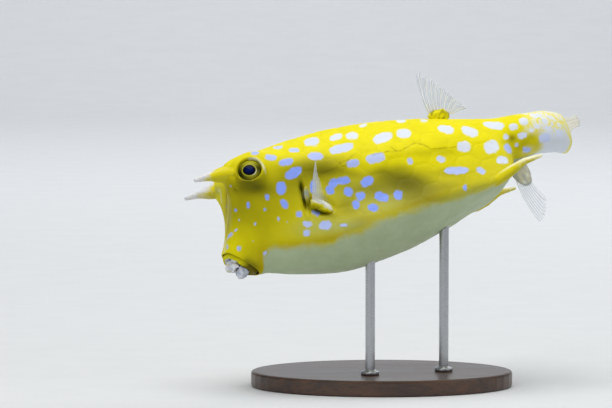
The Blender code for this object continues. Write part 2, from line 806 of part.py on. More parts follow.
def make_gill_flaps(shell):
    """The thin skin flap that lies in each gill slit."""
    flaps = []
    for name, side in (("gill_flap_left", -1), ("gill_flap_right", 1)):
        place = side_point(38.4, 20.6, side, -0.1 * MM)
        lean = Matrix.Rotation(math.radians(14), 3, "Y")
        slant = Matrix.Rotation(math.radians(-24 * side), 3, "Z")
        flap_sizes = (1.5 * MM, 0.9 * MM, 4.8 * MM)
        flap = ellipsoid(name, place, flap_sizes, lean @ slant, detail=10)
        flap = cut_clear(flap, shell)
        flap.data.materials.append(yellow_skin())
        flaps.append(flap)
    return flaps


def make_tail_fin(stalk):
    """The long tail fin, folded like a brush and carried on behind the bend."""
    start = SHELL_END + STALK_LENGTH

    def root(v):
        return bend(Vector((start - 2 * MM, 0, (31.4 - 17.4 * v) * MM)))

    def tip(v):
        return bend(Vector((start + (60 - 9 * abs(v - 0.4)) * MM, 0, (39.4 - 6.8 * v) * MM)))

    def sweep(v):
        return Vector((0, 0, (-1.6 + 4.0 * v) * MM))

    side = Vector((-math.sin(STALK_BEND), math.cos(STALK_BEND), 0))
    fin = fin_fan("tail_fin", 9, root, tip, sweep, side, 1.5 * MM, fold=0.75 * MM, steps=6)
    fin = cut_clear(fin, stalk)
    fin.data.materials.append(clear_fin())
    return fin


def pose_fish(pieces):
    """Hangs every piece of the fish on one empty that gives it its place and attitude."""
    pose = bpy.data.objects.new("fish_pose", None)
    bpy.context.scene.collection.objects.link(pose)
    pose.location = (0, 0, BALANCE_HEIGHT)
    pose.rotation_euler = (BANK, PITCH, TURN)
    for piece in pieces:
        piece.parent = pose
        piece.location = -BALANCE_POINT
    bpy.context.view_layer.update()
    return pose


def make_stand(pose, shell):
    """A flat oval base and two upright rods that end at the belly."""
    bpy.ops.mesh.primitive_cylinder_add(
        vertices=48, radius=0.5, depth=BASE_THICKNESS, location=(0, 0, BASE_THICKNESS / 2)
    )
    base = bpy.context.object
    base.name = "stand_base"
    base.data.transform(Matrix.Diagonal((BASE_LENGTH, BASE_WIDTH, 1, 1)))
    edge = base.modifiers.new("rounded_edge", "BEVEL")
    edge.width = 1.2 * MM
    edge.segments = 2
    edge.limit_method = "ANGLE"
    base.data.materials.append(material("stand_base", (0.03, 0.03, 0.035), 0.4))
    steel = material("stand_rod", (0.55, 0.56, 0.58), 0.25, metallic=1.0)
    bottom = BASE_THICKNESS + GAP
    for name, chain in zip(("stand_rod_front", "stand_rod_rear"), ROD_CHAINS):
        belly = pose.matrix_world @ (skin_point(chain, BELLY_ROW) - BALANCE_POINT)
        top = belly.z + 6 * MM
        middle = (belly.x, belly.y, (top + bottom) / 2)
        bpy.ops.mesh.primitive_cylinder_add(
            vertices=20, radius=ROD_RADIUS, depth=top - bottom, location=middle
        )
        rod = bpy.context.object
        rod.name = name
        rod = cut_clear(rod, shell)
        rod.data.shade_smooth()
        rod.data.set_sharp_from_angle(angle=math.radians(40))
        rod.data.materials.append(steel)


def main():
    for obj in list(bpy.data.objects):
        bpy.data.objects.remove(obj)
    head, blank = make_head()
    shell = make_shell()
    stalk = make_stalk()
    eyes = make_eyes()
    pieces = [head, shell, stalk] + eyes
    pieces += make_lips(blank)
    pieces += make_brow_horns(blank, eyes)
    bpy.data.objects.remove(blank)
    pieces += make_rear_horns(shell)
    pieces += make_gill_flaps(shell)
    pieces += make_pectoral_fins(shell)
    pieces.append(make_dorsal_fin(shell))
    pieces.append(make_anal_fin(shell, stalk))
    pieces.append(make_tail_fin(stalk))
    pose = pose_fish(pieces)
    make_stand(pose, shell)
    cowfish = bpy.data.collections.new("cowfish")
    bpy.context.scene.collection.children.link(cowfish)
    for obj in list(bpy.context.scene.collection.objects):
        bpy.context.scene.collection.objects.unlink(obj)
        cowfish.objects.link(obj)


main()
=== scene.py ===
import math

import bpy
import numpy as np
from mathutils import Euler, Matrix, Vector


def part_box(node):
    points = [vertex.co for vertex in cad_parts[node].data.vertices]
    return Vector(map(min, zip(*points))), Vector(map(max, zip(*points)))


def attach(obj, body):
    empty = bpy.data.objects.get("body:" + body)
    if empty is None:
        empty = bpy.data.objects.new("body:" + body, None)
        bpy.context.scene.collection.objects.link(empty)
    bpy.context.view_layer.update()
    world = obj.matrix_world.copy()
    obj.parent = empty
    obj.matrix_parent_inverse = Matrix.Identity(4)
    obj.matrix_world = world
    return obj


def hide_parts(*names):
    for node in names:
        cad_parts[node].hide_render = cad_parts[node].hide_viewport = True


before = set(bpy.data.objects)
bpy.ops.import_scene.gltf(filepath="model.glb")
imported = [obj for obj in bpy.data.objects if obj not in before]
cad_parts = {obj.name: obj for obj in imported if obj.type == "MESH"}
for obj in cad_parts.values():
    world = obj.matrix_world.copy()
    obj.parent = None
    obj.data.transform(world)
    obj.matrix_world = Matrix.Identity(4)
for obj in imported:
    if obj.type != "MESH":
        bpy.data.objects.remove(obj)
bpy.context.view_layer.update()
print("frame loaded:", len(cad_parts), "solids")

mm = 0.001

pose = {
    "bank": -22,  # degrees
    "pitch": -15,
    "turn": 17,
    "balancePoint": (84, 0, 20),
    "balanceHeight": 103,
}
turnOfFish = Euler([math.radians(pose[k]) for k in ("bank", "pitch", "turn")], "XYZ")
fishToWorld = (
    Matrix.Translation((0, 0, pose["balanceHeight"] * mm))
    @ turnOfFish.to_matrix().to_4x4()
    @ Matrix.Translation(-Vector(pose["balancePoint"]) * mm)
)
fishTurn = np.array(turnOfFish.to_matrix())


def toWorld(points):
    flat = np.asarray(points, float).reshape(-1, 3) * mm
    placed = flat @ fishTurn.T + np.array(fishToWorld.translation)
    return placed.reshape(np.shape(points))


# Camera first, because the markings are laid where the photo shows them
camera = {
    "aim": (-38.2, -11.5, 93.3),  # mm, what the middle of the picture looks at
    "distance": 1800,
    "elevation": 5,  # degrees
    "pixelsPerMm": 2.0,  # at the aim
    "sensor": 36.0,
    "width": 612,
    "height": 408,
}


def makeCamera():
    lens = camera["sensor"] * camera["distance"] * camera["pixelsPerMm"] / camera["width"]
    data = bpy.data.cameras.new("camera")
    data.sensor_width = camera["sensor"]
    data.lens = lens
    data.clip_start = 0.05
    data.clip_end = 20
    obj = bpy.data.objects.new("camera", data)
    bpy.context.scene.collection.objects.link(obj)
    lift = math.radians(camera["elevation"])
    back = Vector((0, -math.cos(lift), math.sin(lift)))
    obj.location = (Vector(camera["aim"]) + back * camera["distance"]) * mm
    obj.rotation_euler = (math.pi / 2 - lift, 0, 0)
    bpy.context.scene.camera = obj
    return obj, lens


cameraObject, lensLength = makeCamera()
bpy.context.view_layer.update()
worldToCamera = np.array(cameraObject.matrix_world.inverted())


def toPicture(points):
    # pixel x, pixel y and depth in mm of world points in metres
    local = np.asarray(points) @ worldToCamera[:3, :3].T + worldToCamera[:3, 3]
    scale = lensLength / camera["sensor"] * camera["width"]
    depth = -local[..., 2]
    across = camera["width"] / 2 + scale * local[..., 0] / depth
    down = camera["height"] / 2 - scale * local[..., 1] / depth
    return np.stack([across, down, depth / mm], axis=-1)


def smoothStep(low, high, value):
    f = np.clip((np.asarray(value, float) - low) / (high - low), 0, 1)
    return f * f * (3 - 2 * f)


def curveThrough(knots, values, at):
    # smooth curve that rises and falls only as its knots do
    knots = np.asarray(knots, float)
    values = np.asarray(values, float)
    at = np.clip(np.asarray(at, float), knots[0], knots[-1])
    i = np.clip(np.searchsorted(knots, at, side="right") - 1, 0, len(knots) - 2)
    slopes = np.diff(values) / np.diff(knots)
    before, after = slopes[:-1], slopes[1:]
    level = before * after <= 0
    total = np.where(level, 1.0, before + after)
    inner = np.where(level, 0.0, 2 * before * after / total)
    tangents = np.concatenate([slopes[:1], inner, slopes[-1:]])
    width = knots[i + 1] - knots[i]
    f = (at - knots[i]) / width
    return (
        (2 * f**3 - 3 * f**2 + 1) * values[i]
        + (f**3 - 2 * f**2 + f) * width * tangents[i]
        + (3 * f**2 - 2 * f**3) * values[i + 1]
        + (f**3 - f**2) * width * tangents[i + 1]
    )


def lineThrough(points, at):
    # point at a share 0..1 along a smooth line through a few points
    knots = np.arange(len(points))
    share = np.asarray(at, float) * (len(points) - 1)
    return np.stack([curveThrough(knots, [p[k] for p in points], share) for k in range(3)], axis=-1)


# Slow waves that make surfaces look grown rather than drawn. The same every run.
def waves(points, size, seed):
    draw = np.random.default_rng(seed)
    total = np.zeros(np.shape(points)[:-1])
    for _ in range(7):
        way = draw.normal(size=3)
        way /= np.linalg.norm(way)
        pitch = size * draw.uniform(0.7, 1.5)
        total += np.sin(np.asarray(points) @ way * (2 * math.pi / pitch) + draw.uniform(0, 6.28))
    return total / 7**0.5


def newObject(name, vertices, faces, finish):
    # a smooth mesh, its vertices in metres in the world
    mesh = bpy.data.meshes.new(name)
    mesh.from_pydata(vertices, [], faces)
    mesh.materials.append(finish)
    mesh.polygons.foreach_set("use_smooth", [True] * len(faces))
    mesh.update()
    obj = bpy.data.objects.new(name, mesh)
    bpy.context.scene.collection.objects.link(obj)
    return obj


def newPiece(name, vertices, faces, finish):
    # a piece of the fish, its vertices in mm in the fish's frame
    obj = newObject(name, toWorld(vertices).tolist(), faces, finish)
    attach(obj, "root")
    return obj


def addFields(obj, **fields):
    # what the finishes read from every vertex: one value for each, or one for all
    for name, values in fields.items():
        field = obj.data.attributes.new(name, "FLOAT", "POINT")
        values = np.broadcast_to(np.asarray(values, np.float32), len(obj.data.vertices))
        field.data.foreach_set("value", np.ascontiguousarray(values))


def withEnds(values, front=0, rear=0):
    # values on rings of vertices, and on the two that close them
    return np.append(np.ravel(values), [front, rear])


def wholeTurn(count):
    return np.linspace(0, 2 * math.pi, count, endpoint=False)


def gridFaces(rings, around, closed=True):
    # quads between rings of vertices, each ring one after another
    faces = []
    last = around if closed else around - 1
    for i in range(rings - 1):
        for j in range(last):
            k = (j + 1) % around
            a, b = i * around, (i + 1) * around
            faces.append((a + j, b + j, b + k, a + k))
    return faces


def closedFaces(rings, around):
    # the same, with a fan at either end round the two vertices that follow the rings
    faces = gridFaces(rings, around)
    last = (rings - 1) * around
    front, rear = rings * around, rings * around + 1
    for j in range(around):
        k = (j + 1) % around
        faces.append((front, j, k))
        faces.append((last + k, last + j, rear))
    return faces


def turnedBack(right, high, tilt):
    # how far along and across a form that is tilted by some degrees
    c, s = math.cos(math.radians(tilt)), math.sin(math.radians(tilt))
    return right * c + high * s, high * c - right * s


# Finishes


def linear(hexColour):
    parts = [int(hexColour[k:k + 2], 16) / 255 for k in (1, 3, 5)]
    return [c / 12.92 if c <= 0.04045 else ((c + 0.055) / 1.055) ** 2.4 for c in parts] + [1.0]


def addNode(tree, kind, settings=None, links=None, output=0):
    # settings are the node's own properties or its sockets' values. What comes back is an output.
    node = tree.nodes.new(kind)
    for name, value in (settings or {}).items():
        if isinstance(name, str) and name in node.bl_rna.properties:
            setattr(node, name, value)
        else:
            node.inputs[name].default_value = value
    for name, source in (links or {}).items():
        tree.links.new(source, node.inputs[name])
    return node.outputs[output]


def addPattern(tree, kind, size, settings=None, stretch=(1, 1, 1)):
    # a texture with a real size in mm, laid on the object and drawn out where its stretch is small
    place = addNode(tree, "ShaderNodeTexCoord", output="Object")
    place = addNode(tree, "ShaderNodeMapping", {"Scale": stretch}, {"Vector": place})
    settings = {"Scale": 1 / (size * mm), **(settings or {})}
    return addNode(tree, "ShaderNodeTex" + kind, settings, {"Vector": place})


def newMaterial(name, *fields):
    # with what its nodes read from the mesh under each field's name
    made = bpy.data.materials.new(name)
    made.use_nodes = True
    tree = made.node_tree
    get = {}
    for field in fields:
        get[field] = addNode(tree, "ShaderNodeAttribute", {"attribute_name": field}, output="Fac")
    return made, tree, get


def paintOver(tree, colour, *coats):
    # coats of paint over a ground, each through its mask. Colours are hex strings or sockets.
    for mask, coat in coats:
        settings, links = {"data_type": "RGBA"}, {0: mask}
        for socket, value in ((6, colour), (7, coat)):
            if isinstance(value, str):
                settings[socket] = linear(value)
            else:
                links[socket] = value
        colour = addNode(tree, "ShaderNodeMix", settings, links, output=2)
    return colour


def finishSurface(tree, colour, values, sheen=None, relief=None):
    # sheen is a pattern, the two strengths it lies between and the roughness at each. Relief is a
    # pattern, how strong it is and how deep in mm.
    shader = tree.nodes["Principled BSDF"]
    tree.links.new(colour, shader.inputs["Base Color"])
    if sheen:
        pattern, *limits = sheen
        rough = addNode(tree, "ShaderNodeMapRange", dict(zip((1, 2, 3, 4), limits)), {0: pattern})
        tree.links.new(rough, shader.inputs["Roughness"])
    if relief:
        pattern, strength, depth = relief
        settings = {"Strength": strength, "Distance": depth * mm}
        bump = addNode(tree, "ShaderNodeBump", settings, {"Height": pattern})
        tree.links.new(bump, shader.inputs["Normal"])
    for name, value in values.items():
        shader.inputs[name].default_value = value


def edgeMask(tree, distance, soft, shift=0.0):
    # 1 where a distance in mm is below the shift, 0 above it, over a soft edge
    limits = {1: shift - soft, 2: shift + soft, 3: 1.0, 4: 0.0}
    settings = {"interpolation_type": "SMOOTHSTEP", **limits}
    return addNode(tree, "ShaderNodeMapRange", settings, {0: distance})


skinFinish = {
    # backYellow over flankYellow, and bone over boneLow: lighter on top, partly the fish's own tone and
    # partly painted light from above
    "backYellow": "#F3E700",
    "flankYellow": "#D6CB00",
    "ochre": "#B8A400",
    "belly": "#BAC9A4",
    "bellyShade": "#A3B08A",
    "backSpot": "#E2EAF8",
    # flankSpot: the spots' periwinkle low on the flank, partly painted shade
    "flankSpot": "#86A2FF",
    # olive: painted shade, and the darker mottle and plate seams
    "olive": "#464600",
    "greyGreen": "#B0B768",
    "crease": "#5A4200",
    # painted shadow in and round the mouth
    "mouthShadow": "#3C2C00",
    "collar": "#DAD200",
    "bone": "#EEF0EC",
    "boneLow": "#DCE3EC",
    # pale: painted highlights on the eye's ring and the face's edge, and the pale flesh and patches on the
    # fins' roots
    "pale": "#ECEFE0",
    "flapGrey": "#8C9CA0",
    "grainSize": 0.5,  # mm between the fine grains of the plates
    "mottleSize": 9.0,  # mm
    "raggedSize": 2.2,  # mm, of what makes edges wander
    "netSize": 4.6,  # mm across the tail stalk's pale blotches
}

# what the resin reads from every point of a mesh, with the values that leave it plain
plainSkin = {
    "spotGap": 6.0, "spotTone": 0.0, "plateGap": 3.0, "plateShow": 0.0, "bellyGap": 10.0, "height": 1.0,
    "olive": 0.0, "greyGreen": 0.0, "crease": 0.0, "ochre": 0.0, "mouth": 0.0, "collar": 0.0,
    "bone": 0.0, "boneYellow": 0.0, "endBand": 0.0, "pale": 0.0, "flap": 0.0,
}


def airbrushedResin():
    # Cast resin, airbrushed and sealed with satin lacquer: soft edges between colours and a low
    # even sheen, with the fine grain of the mould in its highlights
    # its colours carry painted shade, shadow and highlights as well as the fish's own markings
    made, tree, get = newMaterial("airbrushedResinSkin", *plainSkin)
    f = skinFinish
    mottle = addPattern(tree, "Noise", f["mottleSize"], {"Detail": 3.0, "Roughness": 0.55})
    ragged = addPattern(tree, "Noise", f["raggedSize"], {"Detail": 2.0})
    cells = addPattern(tree, "Voronoi", f["netSize"], {"feature": "DISTANCE_TO_EDGE"})
    grain = addPattern(tree, "Voronoi", f["grainSize"])

    # the yellow, lighter on the back than down the flank and partly so as painted light from above, with
    # painted shade in olive over it and a faint darker net where the plates meet
    patchy = addNode(tree, "ShaderNodeMapRange", {1: 0.4, 2: 0.75, 3: 0.0, 4: 0.10}, {0: mottle})
    net = edgeMask(tree, get["plateGap"], 0.45, 0.3)
    net = addNode(tree, "ShaderNodeMath", {"operation": "MULTIPLY"}, {0: net, 1: get["plateShow"]})
    yellow = paintOver(
        tree, f["flankYellow"],
        (get["height"], f["backYellow"]), (get["ochre"], f["ochre"]), (patchy, f["olive"]),
        (get["greyGreen"], f["greyGreen"]), (net, f["olive"]), (get["olive"], f["olive"]),
    )

    # the tail stalk: pale blotches with a broken yellow net between them on top, plain below and a little
    # darker and bluer there, partly as painted shade
    strands = edgeMask(tree, cells, 0.1, 0.1)
    gone = addNode(tree, "ShaderNodeMapRange", {1: 0.38, 2: 0.58, 3: 0.3, 4: 1.0}, {0: ragged})
    for kind, other in (("MULTIPLY", gone), ("MULTIPLY", get["boneYellow"]), ("MAXIMUM", get["endBand"])):
        strands = addNode(tree, "ShaderNodeMath", {"operation": kind}, {0: strands, 1: other})
    bone = paintOver(tree, f["boneLow"], (get["height"], f["bone"]), (strands, f["backYellow"]))

    # the belly's edge wanders by 1.6 mm and a spot's by 0.3 mm
    far = addNode(tree, "ShaderNodeMapRange", {1: 0.3, 2: 0.7, 3: -1.6, 4: 1.6}, {0: mottle})
    bellyGap = addNode(tree, "ShaderNodeMath", {"operation": "ADD"}, {0: get["bellyGap"], 1: far})
    near = addNode(tree, "ShaderNodeMapRange", {1: 0.3, 2: 0.7, 3: -0.32, 4: 0.32}, {0: ragged})
    spotGap = addNode(tree, "ShaderNodeMath", {"operation": "ADD"}, {0: get["spotGap"], 1: near})
    belly = paintOver(tree, f["belly"], (mottle, f["bellyShade"]))
    spot = paintOver(tree, f["backSpot"], (get["spotTone"], f["flankSpot"]))

    # the creases are broken lines, darker where they open
    broken = addNode(tree, "ShaderNodeMapRange", {1: 0.35, 2: 0.6, 3: 0.25, 4: 1.0}, {0: ragged})
    crease = addNode(tree, "ShaderNodeMath", {"operation": "MULTIPLY"}, {0: broken, 1: get["crease"]})
    colour = paintOver(
        tree, yellow,
        (edgeMask(tree, bellyGap, 2.6), belly), (get["bone"], bone), (edgeMask(tree, spotGap, 0.58), spot),
        (crease, f["crease"]), (get["pale"], f["pale"]), (get["flap"], f["flapGrey"]),
        (get["mouth"], f["mouthShadow"]), (get["collar"], f["collar"]),
    )
    finishSurface(
        tree, colour, {"IOR": 1.5, "Specular IOR Level": 0.12},  # cast resin, under matted lacquer
        sheen=(mottle, 0.3, 0.75, 0.42, 0.58), relief=(grain, 0.35, 0.12),
    )
    return made


# Skin: one closed surface over head, shell and tail stalk

rowsAround = 16  # rows of plates, from the back (0) down one side to the belly (8) and up again
headEnd, shellEnd = 31.0, 151.0
rimChain = -30.0
stalkLength, stalkBend = 44.0, math.radians(56)
bendRadius = stalkLength / stalkBend

# chain, back x z, upper ridge x y z, keel x y z, belly x z, crown, hollow: all in mm
bodyStations = np.array([
    (-30, -6.9, 9.1, -5.1, 8.0, 7.7, 4.4, 8.6, -3.1, 8.5, -6.3, 0.3, -1.8),
    (-24, -2.8, 15.4, -1.4, 10.8, 14.8, 8.4, 11.8, -0.6, 12.6, -6.6, 0.4, -1.6),
    (-13, 3.0, 27.0, 3.2, 13.0, 27.5, 13.0, 15.0, 0.4, 18.0, -8.4, 0.2, -1.0),
    (2, 9.8, 43.5, 6.0, 15.2, 46.6, 19.0, 19.2, -2.0, 26.0, -10.8, 0.0, -0.2),
    (18, 20.0, 52.4, 19.0, 17.2, 51.8, 28.0, 22.8, -4.0, 34.0, -13.0, -0.6, 0.6),
    (36, 36.0, 56.0, 36.0, 20.0, 42.5, 38.0, 26.2, -5.2, 42.0, -15.4, 1.2, 1.2),
    (60, 60.0, 57.0, 60.0, 22.6, 34.5, 60.0, 29.2, -5.0, 60.0, -18.0, 2.2, 2.2),
    (85, 85.0, 54.4, 85.0, 22.6, 31.5, 85.0, 30.2, -4.6, 85.0, -16.4, 2.2, 2.6),
    (110, 110.0, 48.8, 110.0, 20.2, 28.5, 110.0, 29.4, -4.4, 110.0, -11.4, 2.0, 2.6),
    (130, 130.0, 42.6, 130.0, 17.2, 26.0, 130.0, 27.6, -3.2, 130.0, -5.4, 1.6, 2.4),
    (141, 141.0, 39.0, 141.0, 14.6, 25.0, 141.0, 26.0, -1.4, 141.0, -2.2, 1.2, 1.8),
    (148, 147.0, 37.0, 147.0, 11.6, 25.6, 147.6, 16.5, 5.5, 147.0, 3.0, 1.0, 0.2),
    (154, 153.0, 35.4, 153.0, 9.0, 28.0, 153.0, 8.6, 13.6, 153.0, 10.4, 1.0, -0.6),
    (172, 172.0, 34.4, 172.0, 7.2, 28.6, 172.0, 6.8, 15.4, 172.0, 11.4, 1.0, -1.0),
    (196, 196.0, 34.4, 196.0, 5.4, 29.6, 196.0, 5.2, 15.2, 196.0, 10.8, 0.6, -0.8),
])


def sectionCorners(chains):
    stations = [curveThrough(bodyStations[:, 0], values, chains) for values in bodyStations.T[1:]]
    backX, backZ, ridgeX, ridgeY, ridgeZ, keelX, keelY, keelZ, bellyX, bellyZ, crown, hollow = stations
    none = np.zeros_like(backX)
    back = np.stack([backX, none, backZ], -1)
    ridge = np.stack([ridgeX, ridgeY, ridgeZ], -1)
    keel = np.stack([keelX, keelY, keelZ], -1)
    half = [back, (back + ridge) / 2 + crown[:, None] * np.array([0, 0.5, 0.87])]
    for k in range(4):
        f = k / 3
        drawnIn = np.stack([none, hollow * math.sin(f * math.pi), none], -1)
        half.append(ridge + (keel - ridge) * f - drawnIn)
    for k in range(1, 4):
        f = k / 3
        drop = 1 - (1 - f) ** 2
        x = keelX + (bellyX - keelX) * drop
        z = keelZ + (bellyZ - keelZ) * drop
        half.append(np.stack([x, keelY * (1 - f), z], -1))
    mirrored = [p * np.array([1, -1, 1]) for p in half[7:0:-1]]
    return np.stack(half + mirrored, 1)


def bendTail(points):
    # what lies behind the shell turns to the fish's right along an arc, then runs on straight
    points = np.array(points, float)
    along = points[..., 0] - shellEnd
    angle = np.clip(along, 0, stalkLength) / bendRadius
    beyond = np.clip(along - stalkLength, 0, None)
    x = shellEnd + bendRadius * np.sin(angle) + np.cos(angle) * beyond - np.sin(angle) * points[..., 1]
    y = bendRadius * (1 - np.cos(angle)) + np.sin(angle) * beyond + np.cos(angle) * points[..., 1]
    behind = along > 0
    points[..., 0] = np.where(behind, x, points[..., 0])
    points[..., 1] = np.where(behind, y, points[..., 1])
    return points


def skinPoints(chains, rows):
    # chains and rows are lists; the result is a grid of points
    corners = sectionCorners(np.asarray(chains, float))
    rows = np.asarray(rows, float)
    i = np.floor(rows + 0.5).astype(int)
    f = (rows - i + 0.5)[None, :, None]
    before, here, after = (corners[:, (i + k) % rowsAround] for k in (-1, 0, 1))
    return bendTail(before * (1 - f) ** 2 / 2 + here * (0.5 + f * (1 - f)) + after * f**2 / 2)


def skinPoint(chain, row):
    return skinPoints([chain], [row])[0, 0]


def gridNormals(points):
    along = np.gradient(points, axis=0)
    wide = np.concatenate([points[:, -1:], points, points[:, :1]], 1)
    around = wide[:, 2:] - wide[:, :-2]
    normals = np.cross(along, around)
    return normals / np.maximum(np.linalg.norm(normals, axis=-1, keepdims=True), 1e-9)


def plateField(chains, rows):
    # distance in mm from the nearest seam between the shell's six-sided plates
    pitch = plates["pitch"]
    wide = 1.1547  # of a column's pitch, so that the plates are regular
    u = (np.asarray(chains)[:, None] - headEnd) / pitch
    v = np.asarray(rows)[None, :] * np.ones_like(u)
    u = u + np.zeros_like(v)
    best = []
    for step in (-1, 0, 1):
        column = np.round(u) + step
        shift = 0.5 * ((column + 1) % 2)
        for side in (0, 1):
            row = np.floor(v - shift) + side + shift
            best.append((u - column) ** 2 + ((v - row) * wide) ** 2)
    best = np.sort(np.stack(best), 0)
    return pitch * (best[1] - best[0]) / (2 * wide)


plates = {
    "pitch": 11.5,  # mm from one column of plates to the next
    "relief": 0.17,  # how far a plate's face stands above its seams
    "slope": 1.7,  # width of the slope down to a seam
    "from": (26, 46),  # chains over which they rise out of the head's skin
    "to": (138, 150),
    "tone": 0.07,  # how dark the seams are
}

eyes = {
    "centre": (17.9, -13.7, 40.3),  # of the left eye
    "look": (-0.20, -0.93, 0.30),
    "radius": 8.0,
    "depth": 6.8,  # from its centre to its front
    # the skin round it: distance from the axis and height along the look
    "rimProfile": (
        (0, 1.0), (5.2, 1.6), (5.75, 4.4), (6.1, 5.5), (6.5, 5.95), (6.9, 6.05), (7.3, 5.85),
        (7.7, 5.2), (8.2, 4.2), (9.0, 2.9), (11.6, 0.0), (16.0, -5.0),
    ),
    "blend": 0.7,  # mm over which the mound runs out into the cheek
    "socketEdge": (6.6, 7.6),  # inside it the skin is pressed in, outside it only raised
    "reach": 15,  # mm from the eye's axis
}
brow = {
    "rise": (4.4, 1.0),  # mm by which it swells over its horn's root, from the inner end forwards
    "share": 0.5,  # of the horn's line
    "reach": 6.0,
    "clear": (7.3, 10.5),  # mm from the eye's axis, where the swelling sets in
}
nostril = {
    "chain": -2,
    "row": 2.55,
    "ring": (0.42, 1.0, 0.4),  # height, radius and width in mm
    "pit": (0.9, 0.6),  # depth and radius
}
gill = {
    "slitAt": (36.4, 19.8),  # x and z
    "slitSizes": (0.85, 5, 7.6),
    "slitTurns": (14, -32),  # degrees about y and z
    "slitDepth": 2.6,
    # height in mm, and in shares of the slit's sizes where it stands and how wide it is
    "lip": (0.5, 1.45, 0.3),
    "dishAt": (42.6, 13.8),
    "dishSizes": (9.2, 6.0, 6.2),
    "dishTurn": 36,
    "dishDepth": 2.4,
}


def eyeAxis(side):
    centre = np.array(eyes["centre"]) * (1, -side, 1)
    look = np.array(eyes["look"]) * (1, -side, 1)
    return centre, look / np.linalg.norm(look)


def sidePoint(x, z, side, out=0.0):
    # the point of the flank at that x and z
    rows = 2 + 0.05 * np.arange(70)
    line = skinPoints([x], rows)[0]
    row = rows[np.argmin(np.abs(line[:, 2] - z))]
    return skinPoint(x, side * row) + np.array([0, side * out, 0])


def turned(degrees, axis):
    return np.array(Matrix.Rotation(math.radians(degrees), 3, axis))


def insideOval(points, centre, sizes, turn):
    # 0 at an oval's centre, 1 at its edge
    return np.linalg.norm((points - centre) @ turn / np.array(sizes), axis=-1)


def pressSocket(points, side):
    # the eye's socket and the mound round it, with each point's distance from the eye's axis
    centre, look = eyeAxis(side)
    offset = points - centre
    along = offset @ look
    away = np.linalg.norm(offset - along[..., None] * look, axis=-1)
    over = np.interp(away, *zip(*eyes["rimProfile"])) - along
    raised = (over + np.sqrt(over**2 + eyes["blend"] ** 2)) / 2
    outside = smoothStep(*eyes["socketEdge"], away)
    near = (along > -3) & (away < eyes["reach"])
    points = points + np.where(near, over * (1 - outside) + raised * outside, 0)[..., None] * look
    return points, np.where(along > -3, away, 99)


def swellBrow(points, normals, rimGap, side):
    # the brow swells up to meet the root of its horn
    shares = np.linspace(0, brow["share"], 24)
    line = lineThrough([(x, side * y, z) for x, y, z in browHorn["line"]], shares)
    begin, end = brow["rise"]
    swelling = np.zeros(points.shape[:2])
    for at, share in zip(line, shares):
        height = begin + (end - begin) * share / brow["share"]
        away = np.linalg.norm(points - at, axis=-1)
        swelling = np.maximum(swelling, height * np.exp(-((away / brow["reach"]) ** 2)))
    swelling = swelling * smoothStep(*brow["clear"], rimGap)
    return points + swelling[..., None] * normals


def pressNostril(points, normals, side):
    # a small pit with a raised ring
    at = skinPoint(nostril["chain"], side * nostril["row"])
    away = np.linalg.norm(points - at, axis=-1)
    height, radius, width = nostril["ring"]
    depth, pitRadius = nostril["pit"]
    rise = height * np.exp(-(((away - radius) / width) ** 2)) - depth * np.exp(-((away / pitRadius) ** 2))
    return points + rise[..., None] * normals


def pressGill(points, normals, side):
    # the gill slit with its lip, and the dish behind it for the pectoral fin's root
    g = gill
    tilt, yaw = g["slitTurns"]
    turn = turned(tilt, "Y") @ turned(yaw * side, "Z")
    slit = insideOval(points, sidePoint(*g["slitAt"], side), g["slitSizes"], turn)
    place = sidePoint(*g["dishAt"], side, 0.4)
    dish = insideOval(points, place, g["dishSizes"], turned(g["dishTurn"], "Y"))
    depth = g["dishDepth"] * (1 - smoothStep(0.35, 1.05, dish))
    depth = depth + g["slitDepth"] * (1 - smoothStep(0.5, 1.15, slit))
    points = points - depth[..., None] * np.array([0, side, 0])
    height, place, width = g["lip"]
    lip = height * np.exp(-(((slit - place) / width) ** 2)) * (dish > 0.9)
    return points + lip[..., None] * normals


def shapeFace(points, normals):
    eyeAway = np.full(points.shape[:2], 99.0)
    for side in (-1, 1):
        points, rimGap = pressSocket(points, side)
        eyeAway = np.minimum(eyeAway, rimGap)
        points = swellBrow(points, normals, rimGap, side)
        points = pressNostril(points, normals, side)
        points = pressGill(points, normals, side)
    return points, eyeAway


# The mouth: the shell's rim, the groove inside it and the fleshy collar round the lips.
# Each pair is a share of the rim's width and how far it stands out, in mm.
mouthProfile = (
    (1.0, 0.0), (0.97, 0.2), (0.94, 0.0), (0.915, -0.9), (0.895, -1.2), (0.875, -0.9), (0.862, -0.2),
    (0.85, 0.5), (0.835, 1.0), (0.80, 1.5), (0.75, 1.9), (0.69, 2.1), (0.62, 1.9), (0.54, 1.4),
    (0.45, 0.8), (0.35, 0.2), (0.2, -0.3), (0.1, -0.4),
)
mouth = {
    "shift": 1.0,  # mm by which the fleshy part sits towards the brow
    "rings": 60,
    "lump": 0.3,  # mm
    "lumpSize": 3.6,
    "pleat": 0.14,
    "pleats": 26,  # all round
    "tilt": 40,  # degrees that it looks down
}
mouthTilt = math.radians(mouth["tilt"])
mouthOut = np.array([-math.cos(mouthTilt), 0, -math.sin(mouthTilt)])
mouthUp = np.array([-math.sin(mouthTilt), 0, math.cos(mouthTilt)])

skinSteps = ((rimChain, 0.4), (50.0, 0.6), (151.0, 0.5), (195.0, None))  # chain, mm a ring
skinAround = 384
# how the stalk's end is rounded: share of its width, mm beyond it
tailCap = ((0.97, 0.5), (0.88, 1.0), (0.7, 1.35), (0.4, 1.5))
tailOut = np.array([math.cos(stalkBend), math.sin(stalkBend), 0])


def chainSteps():
    chains = []
    for (start, step), (end, _) in zip(skinSteps, skinSteps[1:]):
        count = round((end - start) / step)
        chains += [start + (end - start) * k / count for k in range(count)]
    return np.array(chains + [skinSteps[-1][0]])


